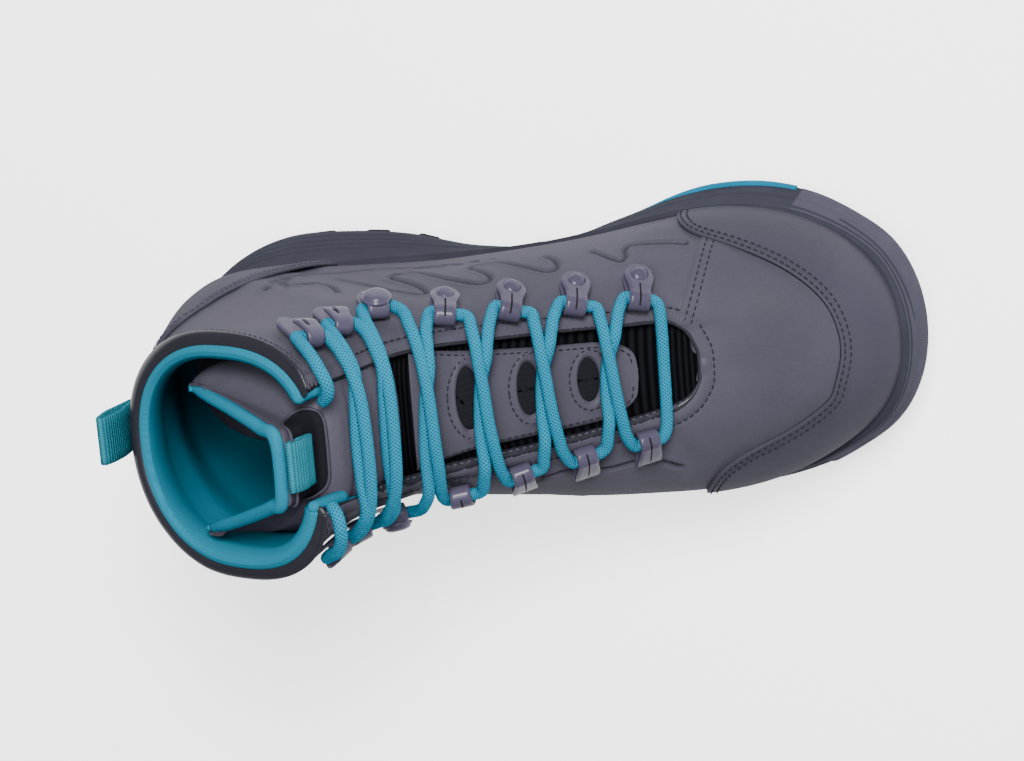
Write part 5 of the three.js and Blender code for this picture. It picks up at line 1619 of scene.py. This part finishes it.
def lace_place(number, side, distance):
    # station and angle at a distance from a fitting, measured along the boot
    station, angle = FITTINGS[number][0], FITTINGS[number][1 if side > 0 else 2]
    size = np.linalg.norm(form(station + 0.1, angle) - form(station, angle)) * 10
    return station + distance / size, angle


def crossing(number, side, high):
    # a strand from one fitting to the next one on the other side
    s0, a0 = lace_place(number, side, 7.0)
    s1, a1 = lace_place(number + 1, -side, -7.0)
    f = np.array([0.1, 0.2, 0.3, 0.4, 0.5, 0.6, 0.7, 0.8, 0.9])
    arch = smooth((0.5 - np.abs(f - 0.5) - 0.27) / 0.2)
    middle = MIDDLE_HIGH if high else MIDDLE_LOW
    up = LACE_UP + 0.6
    height = up + EDGE_LIFT * np.sin(math.pi * f) + (middle - up - EDGE_LIFT) * arch
    turn = 0.6 * f + 0.4 * smooth(f)
    return list(form_at(s0 + (s1 - s0) * f, a0 + (a1 - a0) * turn, height))


def half_lace(first):
    line, side = [], first
    for number in range(7):
        line += through(number, side)
        if number < 6:
            from_inside = side > 0
            line += crossing(number, side, high=from_inside == (number == TOP_ON_INSIDE))
        side = -side
    return line


def build_lace():
    s0, a0 = lace_place(0, 1, -7.0)
    s1, a1 = lace_place(0, -1, -7.0)
    f = np.array([0.1, 0.3, 0.5, 0.7, 0.9])
    height = LACE_UP + 0.6 + (MIDDLE_LOW - LACE_UP - 0.6) * np.sin(math.pi * f) ** 2
    bar = list(form_at(s1 + (s0 - s1) * f - 0.12 * np.sin(math.pi * f), a1 + (a0 - a1) * f, height))
    line = curve_through(half_lace(-1)[::-1] + bar + half_lace(1), 1.0)
    crossings = [f"lace_cross_{k}" for k in range(1, 7)]
    cord_piece("lace", line, LACE_HALF, 14, lace_cord, "lace", "lace_bar", *crossings)


# Each end from its top hook to the collar: station, angle, height over the form.
LACE_ENDS = {1: [[17.0, 46, 5.2], [17.35, 40, 6.6], [17.6, 34, 7.4], [17.55, 27.5, 7.0], [17.25, 22.5, 4.6],
                 [16.9, 19.5, 0.6]],
             -1: [[16.9, -43, 5.2], [17.25, -37, 6.6], [17.6, -30, 7.2], [17.8, -24, 6.4], [17.65, -19, 4.0],
                  [17.3, -16.5, 0.8]]}


def build_lace_ends():
    for side, word in ((1, "medial"), (-1, "lateral")):
        rows = np.array(LACE_ENDS[side])
        way = through(6, side)
        first = way[-1] + (way[-1] - way[-2]) * 0.18
        line = curve_through([first] + list(form_at(rows[:, 0], rows[:, 1], rows[:, 2])), 1.0)
        piece = cord_piece(f"lace_tail_{word}", line, LACE_HALF, 14, lace_cord, "lace", f"lace_end_{word}")


for step in (build_facings, build_front_piping, build_collar_edge, build_upper_stitches, build_pull_loops,
             build_fittings, build_lace, build_lace_ends):
    step()
for colour, finish in (("grey", thread_grey), ("dark", thread_dark)):
    on_boot(STITCHES[colour].piece(f"stitches_{colour}", finish, joined=False), "upper_synthetic")


# Floor and light.
def add_floor():
    bpy.ops.object.select_all(action="DESELECT")
    bpy.ops.mesh.primitive_plane_add(size=6, location=(0, 0, 0))
    floor = bpy.context.object
    floor.name = "floor"
    paint = Finish("floor_paint", (0.92, 0.92, 0.92), 0.7, specular_ior_level=0.2)
    paint.set("Emission Color", (1.0, 1.0, 1.0, 1.0))
    paint.set("Emission Strength", 1.5)
    floor.data.materials.append(paint.material)


def add_light(name, spot, aim, size, power):
    light = bpy.data.lights.new(name, "AREA")
    light.shape = "DISK"
    light.size = size
    light.energy = power
    lamp = bpy.data.objects.new(name, light)
    bpy.context.collection.objects.link(lamp)
    lamp.location = spot
    lamp.rotation_euler = (Vector(aim) - Vector(spot)).to_track_quat("-Z", "Y").to_euler()


add_floor()
add_light("key", (0.35, 0.75, 1.45), (0, 0, 0.06), 0.6, 52)
add_light("above", (0.1, 0.2, 1.8), (0, 0, 0.06), 0.8, 26)
add_light("toe_side", (1.2, -0.3, 1.0), (0, 0, 0.06), 0.8, 3)
world = bpy.data.worlds.new("studio")
bpy.context.scene.world = world
world.use_nodes = True
world.node_tree.nodes["Background"].inputs[0].default_value = (0.95, 0.96, 1.0, 1)
world.node_tree.nodes["Background"].inputs[1].default_value = 0.16
